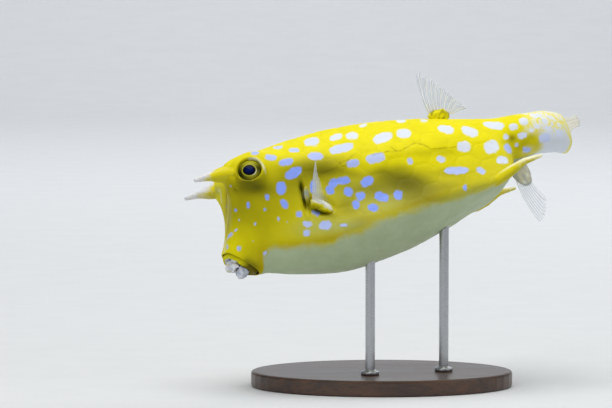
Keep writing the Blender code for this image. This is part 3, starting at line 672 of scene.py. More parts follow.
# Spots, where the photo shows them: pixel x and y, width and height in pixels, and the tilt in
# degrees, up to the right. One pixel is half a millimetre on the fish.
spots = (
    (255, 152.6, 8, 4, 10), (278, 147, 9, 4, 8), (271, 157, 11, 6, -5), (294, 150, 10, 5, 0),
    (286, 162, 14, 7, 8), (311.7, 141.7, 15, 7, 8), (315.5, 156, 15, 8, 0), (293.5, 173, 18, 9.5, 28),
    (336, 137, 13, 6, 18), (352, 135.6, 12, 7, 8), (341.5, 148, 24, 9, 14), (363.5, 125, 8, 3.5, 20),
    (382.7, 137.7, 20, 9.5, 18), (404, 133, 14, 9, 0), (401, 120.5, 9, 4, 0), (375.5, 158, 19, 10, 14),
    (353, 163, 13, 7.5, 12), (410, 161, 5.5, 6.5, 20), (281, 188, 9.5, 13, 0), (284.5, 204, 6, 10.5, 32),
    (267, 197, 4.2, 6, 12), (248, 205, 3, 6.5, 0), (236, 210, 3, 4, 0), (239, 220, 2, 2.5, 0),
    (255, 224, 2.5, 4, 0), (265, 209.5, 2.5, 3, 0), (278.6, 219, 3, 4.6, -10), (287, 222, 2, 2, 0),
    (299, 214.3, 6, 6, 0), (315.8, 213, 8.5, 4, -18), (307.5, 224, 9, 5.5, 0), (306.8, 233, 7, 6, 0),
    (325.5, 225.3, 12, 8.5, 10), (348.4, 191.8, 8.5, 9, 30), (343, 180.6, 14, 8, 8),
    (333.5, 183.5, 9, 8, 30), (330, 190, 8, 9, 20), (360.5, 196, 9, 8, 20), (356, 204.5, 6.5, 9, 10),
    (367, 181.6, 13, 9, 28), (381.7, 197, 14, 8.5, -15), (398, 195.3, 9, 8, -20),
    (373, 207.5, 10, 7.5, -8), (313, 186.5, 6, 13, 0), (229, 236, 3, 9, -48), (236, 230, 2.4, 4.5, -45),
    (226.7, 246.6, 3.2, 5.5, 0), (239, 248.3, 5, 5, 0), (253, 241, 2.4, 1.8, 0), (225.6, 206.6, 2, 3, 0),
    (265, 253, 5.5, 4, 40), (424, 120, 7, 3, 0), (446, 129, 16, 8, -12), (469.8, 131, 17, 9, -22),
    (493.5, 125.3, 21, 7, -10), (463.8, 146.5, 13, 11, 0), (441, 159, 8.5, 6.5, -15),
    (456.5, 170.6, 24, 7, 0), (480.7, 170.7, 9, 6, -25), (491.8, 146.7, 15, 13, 25),
    (508.4, 148.4, 7, 10.5, 25), (502.4, 160, 12, 7, 0), (506, 136.3, 5, 6, 0), (513.5, 126.6, 8, 7, 10),
    (522.4, 135.5, 9, 6, 8), (516.7, 144.8, 4.5, 4.5, 0), (531.4, 130.4, 5.5, 5, 0), (524, 121, 9, 8, 0),
    (465, 187.6, 4, 7, 0), (343.5, 225, 7, 3, 0), (230.7, 186, 2, 2.6, 0), (227, 199, 2, 3, 0),
    (536.7, 126.3, 6, 5.5, 0), (538.5, 115.5, 7, 4, 0), (544.4, 121, 6, 5.5, 20), (548, 128, 6, 6, 0),
    (549.5, 116.6, 5, 4, 0), (552.5, 123.6, 4.5, 5, 0), (545, 138, 12, 9, 10), (560, 133.5, 7, 7, -30),
    (533, 113.5, 5, 3, 0), (527, 150, 8, 5, 0), (556, 129, 4.5, 4, 0),
)
ovalShape = {
    "power": 2.5,  # 2 is an ellipse, more is squarer
    "reach": 1.6,  # of the longer side, and 4 mm: no farther from its middle does it touch the skin
    "spread": 0.85,  # of the longer side: no farther is it drawn out where the skin is seen aslant
    "small": (5.6, 0.22),  # a spot under so many pixels loses so many mm at its edge
}
oddTones = {(271, 157): 0.55}  # the spot behind the eye is bluer than its neighbours


def surfaceUnderPixel(pictured, facing, x, y):
    # index of the skin's vertex that the camera sees within 1.3 pixels, or else the nearest
    away = np.hypot(pictured[:, 0] - x, pictured[:, 1] - y)
    seen = np.where((facing > 0.05) & (away < 1.3))[0]
    if len(seen):
        return seen[np.argmin(pictured[seen, 2])]
    return np.argmin(away + np.where(facing > 0, 0, 50))


def ovalGap(points, normals, pictured, facing, oval):
    # distance in mm to the edge of an oval laid on the skin where the picture shows it,
    # less than zero inside, with the skin's vertices that it can touch
    x, y, width, height, tilt = oval
    longer = max(width, height)
    at = surfaceUnderPixel(pictured, facing, x, y)
    offset = points - points[at]
    limit = (longer / camera["pixelsPerMm"] * ovalShape["reach"] + 4) * mm
    near = np.where((np.abs(offset).max(1) < limit) & (normals @ normals[at] > 0.15))[0]
    flat = offset[near] - (offset[near] @ normals[at])[:, None] * normals[at]
    shown = toPicture(points[at] + flat)
    along, across = np.abs(turnedBack(shown[:, 0] - x, y - shown[:, 1], tilt))
    power = ovalShape["power"]
    share = ((along / (width / 2)) ** power + (across / (height / 2)) ** power) ** (1 / power) + 1e-4
    gap = np.hypot(along, across) * (1 - 1 / share) / camera["pixelsPerMm"]
    spread = np.linalg.norm(flat, axis=1) / mm - ovalShape["spread"] * longer / camera["pixelsPerMm"]
    size, loss = ovalShape["small"]
    return near, np.maximum(np.maximum(gap, spread), -3) + (loss if longer < size else 0.0)


def spotToneAt(oval):
    # spots are lavender white on the back and periwinkle low on the flank, partly their own colour and
    # partly painted shade, and paler again below
    x, y = oval[0], oval[1]
    if (x, y) in oddTones:
        return oddTones[x, y]
    if x > 505:  # before the tail they stay pale farther down
        return float(smoothStep(128, 150, y) * 0.6)
    return float(0.96 * smoothStep(128, 176, y - 0.1 * (x - 290)) * (1 - 0.45 * smoothStep(208, 226, y)))


# Painted ovals of shade and tone: pixel x and y, width and height, tilt, strength
shades = {
    # painted shade and shadow: round and under the eye, over the cheek and the flank, in the gill slit and
    # under the pectoral arm
    "olive": (
        (251, 174, 40, 32, 10, 0.38), (257, 187, 34, 17, -8, 0.78), (242, 188, 26, 16, 0, 0.36),
        (256, 206, 76, 56, -4, 0.48), (236, 214, 26, 50, 0, 0.34), (284, 182, 42, 36, 0, 0.36),
        (324, 172, 56, 24, 4, 0.55), (330, 162, 44, 14, 8, 0.25), (346, 206, 34, 24, 0, 0.42),
        (394, 184, 58, 26, -4, 0.50), (414, 190, 42, 18, -8, 0.42), (372, 192, 44, 20, 0, 0.28),
        (414, 197, 46, 12, 8, 0.25), (450, 173, 34, 9, 0, 0.36), (338, 184, 36, 20, 0, 0.30),
        (300, 184, 42, 36, 20, 0.40), (308, 167, 50, 20, 6, 0.50), (328, 171, 36, 9, 4, 0.50),
        (398, 177, 54, 20, -6, 0.55), (416, 182, 44, 18, -10, 0.50), (384, 172, 26, 11, 0, 0.35),
        (444, 187, 46, 13, 14, 0.34), (364, 188, 50, 24, 4, 0.30), (352, 174, 30, 9, -10, 0.30),
        (430, 199, 60, 11, 14, 0.22), (466, 190, 50, 10, 20, 0.2), (402, 168, 18, 9, 0, 0.25),
        (418, 153, 40, 9, 0, 0.16), (446, 152, 30, 8, 0, 0.2), (300.4, 187, 4.2, 13, 6, 1.0),
        (303.8, 200, 4.4, 17, 14, 0.95), (308.5, 203, 7, 14, 0, 0.6), (319, 211.5, 26, 5.5, -16, 0.95),
        (512, 138, 9, 8, 0, 0.65), (519, 146, 10, 8, 0, 0.2), (505, 142, 12, 9, 0, 0.2),
        (531, 136, 7, 7, 0, 0.25), (525, 142, 10, 8, 0, 0.3), (562, 149, 18, 6, 14, 0.4),
        (249, 181.2, 22, 4.5, 6, 0.5), (237.6, 173, 4, 12, 0, 0.45), (227.8, 199, 3.4, 24, 3, 0.24),
        (227.8, 219, 3.4, 28, 0, 0.18),
    ),
    "greyGreen": (
        (384, 202, 60, 24, 14, 0.6), (350, 190, 60, 26, 0, 0.35), (330, 226, 70, 18, 8, 0.5),
        (310, 226, 34, 20, 0, 0.35), (348, 226, 50, 10, 8, 0.6), (470, 193, 60, 12, 18, 0.5),
        (440, 204, 60, 12, 10, 0.4), (217, 190, 10, 12, -40, 0.7),
    ),
    # the mustard low on the flank and at the face's front, partly the fish's own tone and partly painted
    # shade, and painted shade over the ridge along the face's edge
    "ochre": (
        (227.4, 200, 3.6, 26, 4, 0.7), (227.4, 220, 3.4, 30, 0, 0.6), (420, 203, 60, 14, 10, 0.75),
        (360, 222, 60, 14, 20, 0.75), (290, 247, 70, 14, 6, 0.55), (262, 262, 12, 34, 0, 0.75),
        (330, 238, 60, 10, 12, 0.6), (228, 185, 10, 30, 0, 0.45), (240, 190, 20, 40, 0, 0.3),
    ),
    "flap": ((306, 193.5, 5.5, 8, -20, 0.8),),
    # painted shadow round the mouth's rim
    "mouth": ((253, 267, 13, 19, 36, 0.7), (246.5, 261.5, 8, 6, -40, 0.4)),
}


def shadeField(pictured, facing, name):
    # soft ovals, painted as seen from where the camera stands, that fade out over the form's edge: mostly
    # painted shade, the rest the skin's own tones
    total = np.zeros(len(pictured))
    shown = smoothStep(-0.02, 0.25, facing)
    for x, y, width, height, tilt, strength in shades[name]:
        along, across = turnedBack(pictured[:, 0] - x, y - pictured[:, 1], tilt)
        share = (along / (width / 2)) ** 2 + (across / (height / 2)) ** 2
        total = 1 - (1 - total) * (1 - strength * np.exp(-1.1 * share) * shown)
    return total


# Fine lines, by the pixels of their corners: the jagged seam along the upper ridge, and painted
# highlights along the edges of the eye's ring and of the face. Each with its half width in mm and its
# strength.
drawnLines = {
    "crease": (
        (((314, 173.5), (325, 172), (335, 168), (341, 162), (350, 159)), 0.22, 0.55),
        (((331, 169), (345, 166), (350, 157), (355, 154)), 0.2, 0.5),
        (((372, 155), (386, 151.5), (400, 151), (415, 143), (424, 145), (432, 149), (456, 147)), 0.2, 0.55),
        (((397, 151.5), (391, 147)), 0.2, 0.4),
    ),
    # painted highlights where the eye's ring and the face's edge catch the light
    "pale": (
        (((249, 159.4), (253, 158.4), (256.6, 159)), 0.5, 0.75),
        (((256.6, 159), (260, 161.6), (262.6, 165), (264.6, 169)), 0.42, 0.6),
        (((264.6, 169), (265.6, 173)), 0.3, 0.3),
        (((226, 240), (224.5, 247), (224.6, 252)), 0.3, 0.4),
        (((219, 189), (220.6, 193), (221.3, 198), (221.5, 203)), 0.22, 0.4),
    ),
}


def lineField(pictured, facing, lines):
    total = np.zeros(len(pictured))
    for corners, half, strength in lines:
        best = np.full(len(pictured), 99.0)
        for (x0, y0), (x1, y1) in zip(corners, corners[1:]):
            dx, dy = x1 - x0, y1 - y0
            right, down = pictured[:, 0] - x0, pictured[:, 1] - y0
            f = np.clip((right * dx + down * dy) / (dx * dx + dy * dy), 0, 1)
            best = np.minimum(best, np.hypot(right - f * dx, down - f * dy))
        best = np.where(facing > 0.1, best, 99.0) / camera["pixelsPerMm"]
        total = np.maximum(total, strength * (1 - smoothStep(half * 0.4, half * 2, best)))
    return total


# the lower edge of the yellow, as chain and row down from the back
bellyLine = (
    (-30, 8.6), (-29, 8.0), (-26, 6.2), (-21, 5.25), (-12, 5.1), (10, 5.15), (40, 5.25), (60, 5.2),
    (74, 5.05), (94, 5.05), (108, 5.25), (125, 5.4), (141, 5.65), (148, 6.5), (196, 8.5),
)
# on the far side it lies lower before the tail: by some rows, between these chains
farBelly = {"rows": 0.6, "from": (105, 120), "to": (141, 147)}


mouthPaint = {
    # shares of the rim's width between which each comes, and goes
    "hollow": ((0.965, 0.93), (0.865, 0.885)),
    "under": (0.97, 0.92),
    "deep": (0.62, 0.5),
    "collar": ((0.89, 0.865), (0.62, 0.70)),
    "flesh": (0.70, 0.62),
    "line": (0.655, 0.03, 0.6),  # where it runs, its half width and its strength
    "low": (3.3, 5.0),  # rows from the back over which the underside sets in
}
stalkPaint = {
    "bone": (9, 22),  # mm behind the shell over which yellow gives way to bone
    "rearBand": (42.0, 1.7, 0.85),  # mm behind the shell, half width and strength of yellow bands
    "slantBand": (24, 1.4, 0.8),
    "slant": 3.6,  # mm farther back for each row down
    "top": (3.2, 4.6),  # rows from the back that carry the yellow net
}


def mouthRings(rim, rows):
    # rings from the mouth's middle out to the shell's rim, each with its share of the rim's width
    middle = rim.mean(0)
    inward = np.linspace(0, 1, mouth["rings"])[1:]
    knots = np.linspace(0, 1, len(mouthProfile))
    shares, rises = (np.interp(inward, knots, values)[:, None, None] for values in zip(*mouthProfile))
    rings = middle + (rim - middle) * shares + mouthOut * rises
    rings = rings + mouthUp * mouth["shift"] * smoothStep(0.95, 0.7, shares)
    # the flesh inside the shell's rim is lumpy and pleated
    shares = shares[..., 0]
    turns = rows * 2 * math.pi * mouth["pleats"] / rowsAround + 1.5 * np.sin(rows * 1.2)
    lumps = mouth["lump"] * waves(rings, mouth["lumpSize"], 15) + mouth["pleat"] * np.sin(turns)
    rings = rings + (lumps * smoothStep(0.86, 0.7, shares))[..., None] * mouthOut
    return rings[::-1], shares[::-1]


def drawnFields(vertices, ways):
    # spots, shades and lines as the photo shows them, and how far each vertex faces the camera
    world = toWorld(vertices)
    toEye = np.array(cameraObject.location) - world
    toEye /= np.linalg.norm(toEye, axis=1, keepdims=True)
    facing = (ways * toEye).sum(1)
    pictured = toPicture(world)
    fields = {name: np.full(len(world), plainSkin[name]) for name in ("spotGap", "spotTone")}
    for oval in spots:
        near, gap = ovalGap(world, ways, pictured, facing, oval)
        closer = gap < fields["spotGap"][near]
        for name, value in (("spotGap", gap), ("spotTone", spotToneAt(oval))):
            fields[name][near] = np.where(closer, value, fields[name][near])
    for name in shades:
        fields[name] = shadeField(pictured, facing, name)
    for name, lines in drawnLines.items():
        fields[name] = lineField(pictured, facing, lines)
    return fields, facing


def onRings(count, first, values, plain=0.0, ends=(0, 0)):
    # values for some of the skin's rings, plain on the others, and the two closing vertices
    grid = np.full((count, skinAround), plain)
    grid[first:first + len(values)] = values
    return withEnds(grid, *ends)


def paintMouth(fields, chainOf, rows, shares, count):
    # painted shade in its groove, along its underside, in a line and deep inside, with a yellow collar.
    # What comes back is 1 on the flesh inside it.
    p = mouthPaint
    low = smoothStep(*p["low"], np.minimum(rows, rowsAround - rows))
    into, out = p["hollow"]
    hollow = smoothStep(*into, shares) * smoothStep(*out, shares)
    under = 0.85 * (smoothStep(*p["under"], shares) * low)
    place, width, strength = p["line"]
    line = strength * np.exp(-(((shares - place) / width) ** 2))
    deep = np.maximum(smoothStep(*p["deep"], shares), line)
    dark = onRings(count, 0, np.maximum(np.maximum(hollow, under), deep), ends=(1, 0))
    fields["mouth"] = np.maximum(fields["mouth"] * (chainOf < -24), dark)
    into, out = p["collar"]
    fields["collar"] = onRings(count, 0, smoothStep(*into, shares) * smoothStep(*out, shares) * (1 - low))
    return onRings(count, 0, smoothStep(*p["flesh"], shares) * (1 - low))


def paintStalk(fields, vertices, chainOf, fold, inside):
    # bone with a yellow net on top and two yellow bands, the second one aslant
    p = stalkPaint
    fromShell = chainOf - shellEnd
    blotch = waves(vertices, 11, 8)
    fields["bone"] = np.maximum(smoothStep(*p["bone"], fromShell + 3 * blotch), inside)
    fields["boneYellow"] = (1 - smoothStep(*p["top"], fold + 0.5 * blotch)) * (fromShell > 0)
    place, width, strength = p["rearBand"]
    band = strength * np.exp(-(((fromShell - place) / width) ** 2))
    place, width, strength = p["slantBand"]
    slanting = strength * np.exp(-(((fromShell - place - p["slant"] * fold) / width) ** 2)) * (fold < 5)
    fields["endBand"] = np.maximum(band, slanting)


def makeSkin(finish):
    chains = chainSteps()
    rows = np.arange(skinAround) * rowsAround / skinAround
    grid = skinPoints(chains, rows)
    normals = gridNormals(grid)
    gap = plateField(chains, rows)
    show = (smoothStep(*plates["from"], chains) * (1 - smoothStep(*plates["to"], chains)))[:, None]
    relief = plates["relief"] * (smoothStep(0, plates["slope"], gap) - 0.5) * show
    relief = relief + 0.12 * waves(grid, 16, 3) * smoothStep(-30, -20, chains)[:, None]
    grid, eyeAway = shapeFace(grid + relief[..., None] * normals, normals)
    inner, shares = mouthRings(grid[0], rows)
    endMiddle = grid[-1].mean(0)
    caps = [endMiddle + (grid[-1] - endMiddle) * share + tailOut * rise for share, rise in tailCap]
    every = np.concatenate([inner, grid, caps])
    ends = [
        grid[0].mean(0) + mouthOut * mouthProfile[-1][1] + mouthUp * mouth["shift"],
        endMiddle + tailOut * tailCap[-1][1],
    ]
    vertices = np.concatenate([every.reshape(-1, 3), ends])
    count, first = len(every), len(inner)
    skin = newPiece("skin", vertices, closedFaces(count, skinAround), finish)

    ways = np.concatenate([gridNormals(every).reshape(-1, 3), [mouthOut], [tailOut]]) @ fishTurn.T
    fields, facing = drawnFields(vertices, ways)
    copyToFarSide(fields, facing, first, len(chains))
    chainOf = np.concatenate([np.full(first, rimChain), chains, np.full(len(caps), chains[-1])])
    chainOf = withEnds(np.repeat(chainOf, skinAround), rimChain, chains[-1])
    rowOf = withEnds(np.tile(rows, count))
    fold = np.minimum(rowOf, rowsAround - rowOf)

    # the shell: its plates, the belly's edge and the shade in the eyes' sockets
    far = farBelly
    lower = far["rows"] * (rowOf < rowsAround / 2) * smoothStep(*far["from"], chainOf)
    line = curveThrough(*zip(*bellyLine), chainOf) + lower * (1 - smoothStep(*far["to"], chainOf))
    fields["bellyGap"] = (line - fold) * 10.0  # taking a row as 10 mm
    fields["plateGap"] = onRings(count, first, gap, 3.0, (3, 3))
    fields["plateShow"] = onRings(count, first, plates["tone"] * show)
    # lighter on the back than down the sides, for the yellow and for the stalk's bone: partly its own tone,
    # partly painted light from above
    fields["height"] = 1 - smoothStep(2.4, 4.4, fold)
    socket = onRings(count, first, 0.5 * smoothStep(6.6, 5.9, eyeAway))
    fields["olive"] = np.maximum(fields["olive"], socket)

    # the flesh inside the mouth is bone coloured too, with lumps of two tones
    inside = paintMouth(fields, chainOf, rows, shares, count)
    paintStalk(fields, vertices, chainOf, fold, inside)
    lump = waves(vertices, 3.2, 19)
    fields["height"] = np.where(inside > 0.5, smoothStep(-0.6, 1.0, lump), fields["height"])
    stain = 0.4 * inside * smoothStep(0.3, 1.2, -lump)
    fields["olive"] = np.maximum(fields["olive"] * (inside < 0.5), stain)
    addFields(skin, **fields)
    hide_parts("head", "carapace", "tail_stalk")
    return skin


def between(block, rows, columns):
    # values between the grid's points, which close round the body
    rows = np.clip(rows, 0, len(block) - 1.001)
    i, j = np.floor(rows).astype(int), np.floor(columns).astype(int)
    f, g = rows - i, columns - j
    j, k = j % block.shape[1], (j + 1) % block.shape[1]
    nearer = block[i, j] * (1 - g) + block[i, k] * g
    farther = block[i + 1, j] * (1 - g) + block[i + 1, k] * g
    return nearer * (1 - f) + farther * f


farShift = {
    # how high and how long each wave is, in rings and columns of the skin's grid
    "along": ((9, 37), (8, 21)),
    "round": (7, 29),
    "settle": 40,  # columns from the back and the belly over which it sets in
}


def copyToFarSide(fields, facing, firstRing, rings):
    # the side that the photo doesn't show takes the near side's markings, its spots shifted by
    # slow waves
    shape = (rings, skinAround)
    first = firstRing * skinAround
    last = first + rings * skinAround
    hidden = 1 - smoothStep(-0.05, 0.2, facing[first:last].reshape(shape))
    i, j = np.arange(rings)[:, None], np.arange(skinAround)[None, :]
    right = np.arange(skinAround) < skinAround // 2
    settled = smoothStep(0, farShift["settle"], np.minimum(j, skinAround // 2 - j))
    (high, long), (highToo, longToo) = farShift["along"]
    alongShift = (high * np.sin(i / long + 1.0) + highToo * np.sin(j / longToo)) * settled
    high, long = farShift["round"]
    roundShift = high * np.sin(i / long) * settled
    for name, values in fields.items():
        block = values[first:last].reshape(shape)
        moved = 1 if name in ("spotGap", "spotTone") else 0
        taken = between(block, i + moved * alongShift, -(j + moved * roundShift))
        if name == "spotGap":
            taken = np.minimum(block, taken + 4 * (1 - hidden))
        elif name == "spotTone":
            taken = np.where(hidden > 0.4, taken, block)
        else:
            taken = block + (taken - block) * hidden
        block[:, right] = taken[:, right]


def plainFields(obj, **given):
    # the resin finish reads its markings from every vertex: none here but the ones given
    addFields(obj, **{**plainSkin, **given})


def tubeAlong(centres, radii, around, up=(0, 0, 1)):
    # rings of points round a line, with the way out at each
    ahead = np.gradient(centres, axis=0)
    ahead /= np.linalg.norm(ahead, axis=1, keepdims=True)
    side = np.cross(np.broadcast_to(np.array(up, float), ahead.shape), ahead)
    side /= np.linalg.norm(side, axis=1, keepdims=True)
    over = np.cross(ahead, side)
    angle = wholeTurn(around)[None, :, None]
    ring = np.cos(angle) * side[:, None] + np.sin(angle) * over[:, None]
    return centres[:, None] + ring * np.asarray(radii)[:, None, None], ring


def closedTube(rings):
    # vertices and faces of a tube with a point at either end
    vertices = np.concatenate([rings.reshape(-1, 3), rings[:1].mean(1), rings[-1:].mean(1)])
    return vertices, closedFaces(*rings.shape[:2])


def withTip(line, radii, steps, tipLength):
    # a line with radii, carried on into a rounded tip
    share = np.linspace(0, 1, steps)
    centres = lineThrough(line, share)
    size = curveThrough(np.arange(len(radii)), radii, share * (len(radii) - 1))
    ahead = centres[-1] - centres[-2]
    ahead /= np.linalg.norm(ahead)
    angle = np.linspace(0, math.pi / 2, 15)[1:-1]
    tip = centres[-1] + ahead * (tipLength * np.sin(angle))[:, None]
    return np.concatenate([centres, tip]), np.concatenate([size, size[-1] * np.cos(angle)])


# Horns

sides = {"left": -1, "right": 1}

hornFinish = {
    "cream": "#F8F8EE",
    "lavender": "#C6CAEA",
    "butter": "#F8F1B8",
    "yellow": "#E6D900",
    # olive: painted shade under the horn and in its grooves
    "olive": "#8E8A20",
    "mottleSize": 1.6,  # mm
}


def polishedHorn():
    # Horn cores cast in ivory resin and tinted yellow at the root: pale and waxy, with fine grooves
    # that run along them
    made, tree, get = newMaterial("tintedIvoryResin", "rootYellow", "underside", "groove", "cool")
    f = hornFinish
    mottle = addPattern(tree, "Noise", f["mottleSize"], {"Detail": 3.0})
    second = paintOver(tree, f["butter"], (get["cool"], f["lavender"]))
    pale = paintOver(tree, f["cream"], (mottle, second))
    # the yellow darkens to olive where the horn faces down, painted shade
    tinted = paintOver(tree, f["yellow"], (get["underside"], f["olive"]))
    finishSurface(
        tree, paintOver(tree, pale, (get["rootYellow"], tinted), (get["groove"], f["olive"])),
        {
            "IOR": 1.5,  # cast resin
            "Specular IOR Level": 0.25,
            "Subsurface Weight": 0.2,
            "Subsurface Radius": (0.8, 0.7, 0.5),
            "Subsurface Scale": 3 * mm,
        },
        sheen=(mottle, 0.3, 0.7, 0.34, 0.5), relief=(mottle, 0.25, 0.08),
    )
    return made


browHorn = {
    "line": ((11, 12.2, 43.1), (7, 13.4, 43.9), (2, 14.5, 44.5), (-4, 15.3, 45.1), (-9.6, 15.8, 45.3)),
    "radii": (3.8, 4.5, 3.65, 2.05, 1.22),
    "inner": (15.5, 9.5, 40.5),  # where it starts, deep in the brow
    "innerRadius": 3.0,
    "tip": 1.55,
    "tint": 0.0,
    "cool": 1.0,
    # x from which the root's yellow fades, and where it has gone
    "yellowEnds": {"left": (-1.0, -5.0), "right": (4.5, -1.5)},
}
rearHorn = {
    "line": ((133, 22.6, -1), (139, 24.6, 0.2), (144.5, 26, 1.8), (150.5, 27.3, 3.2), (157.6, 28.6, 3.1)),
    "radii": (2.9, 2.8, 2.25, 1.65, 0.92),
    "inner": (128, 18.5, 2.0),
    "innerRadius": 1.6,
    "tip": 1.35,
    "tint": 0.15,
    "cool": 0.0,
    "yellowEnds": {"left": (141, 153), "right": (146, 159)},
}


hornPaint = {
    "around": 56,
    "along": 100,
    "under": {"left": (0.2, -0.5), "right": (0.25, -0.4)},  # how far up the underside's tint reaches
}


def makeHorn(name, plan, word, finish):
    side = sides[word]
    line = [(x, side * y, z) for x, y, z in (plan["inner"],) + plan["line"]]
    radii = (plan["innerRadius"],) + plan["radii"]
    centres, radii = withTip(line, radii, hornPaint["along"], plan["tip"])
    rings, ways = tubeAlong(centres, radii, hornPaint["around"])
    angle = wholeTurn(hornPaint["around"])[None, :]
    share = np.linspace(0, 1, len(centres))[:, None]
    fade = np.clip(radii[:, None] / 2.5, 0, 1)
    flutes = np.sin(7 * angle + 2.0 * np.sin(5 * share)) + 0.6 * np.sin(13 * angle - 3 * share)
    swell = 0.03 * flutes * fade + 0.045 * waves(rings, 5, 21) * fade - 0.05 * fade
    vertices, faces = closedTube(rings + ways * swell[..., None])
    horn = newPiece(name, vertices, faces, finish)

    begin, end = plan["yellowEnds"][word]
    gone = (vertices[:, 0] - begin) / (end - begin)
    over = withEnds(ways[..., 2])
    # the top edge is pale nearly down to the root, and the underside is tinted out to the tip
    root = 1 - smoothStep(0, 1, gone)
    top = smoothStep(0.2, 0.8, over) * smoothStep(-0.9, 0.2, gone)
    under = 0.9 * smoothStep(*hornPaint["under"][word], over) * smoothStep(1.0, 0.0, gone - 0.8)
    tint = np.maximum(1.2 * root - top, np.maximum(under, plan["tint"]) + 0.1 * waves(vertices, 3, 5))
    # underside is painted shade where the horn faces down, groove painted shade in its flutes
    addFields(
        horn, rootYellow=np.clip(tint, 0, 1), cool=plan["cool"],
        underside=0.45 * smoothStep(0.0, -0.9, over),
        groove=withEnds(0.18 * smoothStep(-0.6, -1.5, flutes) * fade),
    )
    return horn


def makeHorns():
    finish = polishedHorn()
    for word in sides:
        horn = makeHorn("browHorn_" + word, browHorn, word, finish)
        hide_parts("brow_horn_" + word)
        horn = makeHorn("rearHorn_" + word, rearHorn, word, finish)
        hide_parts("rear_horn_" + word)


# Eyes

eyeFinish = {
    "pupil": "#03050E",
    "pupilBlue": "#0B1A55",
    "ring": "#85852F",
    "iris": "#C4C02C",
    "irisDark": "#7E7C0C",
    "edge": "#6A680C",
    "fleck": "#B5AF2C",
    "glint": "#E6EADB",
    "shade": "#2E2F06",
    "fleckSize": 0.9,  # mm
    "fineSize": 0.35,  # mm, coarser than real brush marks so that they show
}


def blownGlassEye():
    # A glass eye painted from behind: wet gloss over a deep pupil, a gold ring and olive fibres
    made, tree, get = newMaterial("paintedGlassEye", "pupilGap", "irisReach", "fibre", "glint", "shade")
    f = eyeFinish
    fine = addPattern(tree, "Noise", f["fineSize"])
    fleck = edgeMask(tree, addPattern(tree, "Voronoi", f["fleckSize"]), 0.08, 0.22)
    fleck = addNode(tree, "ShaderNodeMath", {"operation": "MULTIPLY", 1: 0.35}, {0: fleck})
    limits = {1: 4.3, 2: 5.9, 4: 0.7}  # mm from the eye's axis, and how dark its edge is
    settings = {"interpolation_type": "SMOOTHSTEP", **limits}
    far = addNode(tree, "ShaderNodeMapRange", settings, {0: get["irisReach"]})
    pupil = paintOver(tree, f["pupil"], (edgeMask(tree, get["pupilGap"], 1.3, -1.4), f["pupilBlue"]))
    colour = paintOver(
        tree, f["irisDark"],
        (get["fibre"], f["iris"]), (fleck, f["fleck"]), (far, f["edge"]), (get["shade"], f["shade"]),
        (edgeMask(tree, get["pupilGap"], 0.11, 0.12), f["ring"]), (get["glint"], f["glint"]),
        (edgeMask(tree, get["pupilGap"], 0.08), pupil),
    )
    finishSurface(
        tree, colour,
        {
            "Roughness": 0.12,
            "IOR": 1.5,  # glass
            "Specular IOR Level": 0.06,  # bloomed, as in museum eyes
        },
        relief=(fine, 0.08, 0.05),
    )
    return made


eyeDetail = {
    "pupilWidth": 6.5,  # mm
    "pupilHeight": 5.6,
    "pupilTilt": 12,  # degrees
    "pupilShift": (0.1, -0.75),  # mm forwards and up from the middle
    "cover": 120,  # degrees of the ball, from its front to its rim
    "glint": (0.3, 0.22, 222),  # mm from the pupil, width and degrees round it
    "rings": 90,
    "around": 144,
}


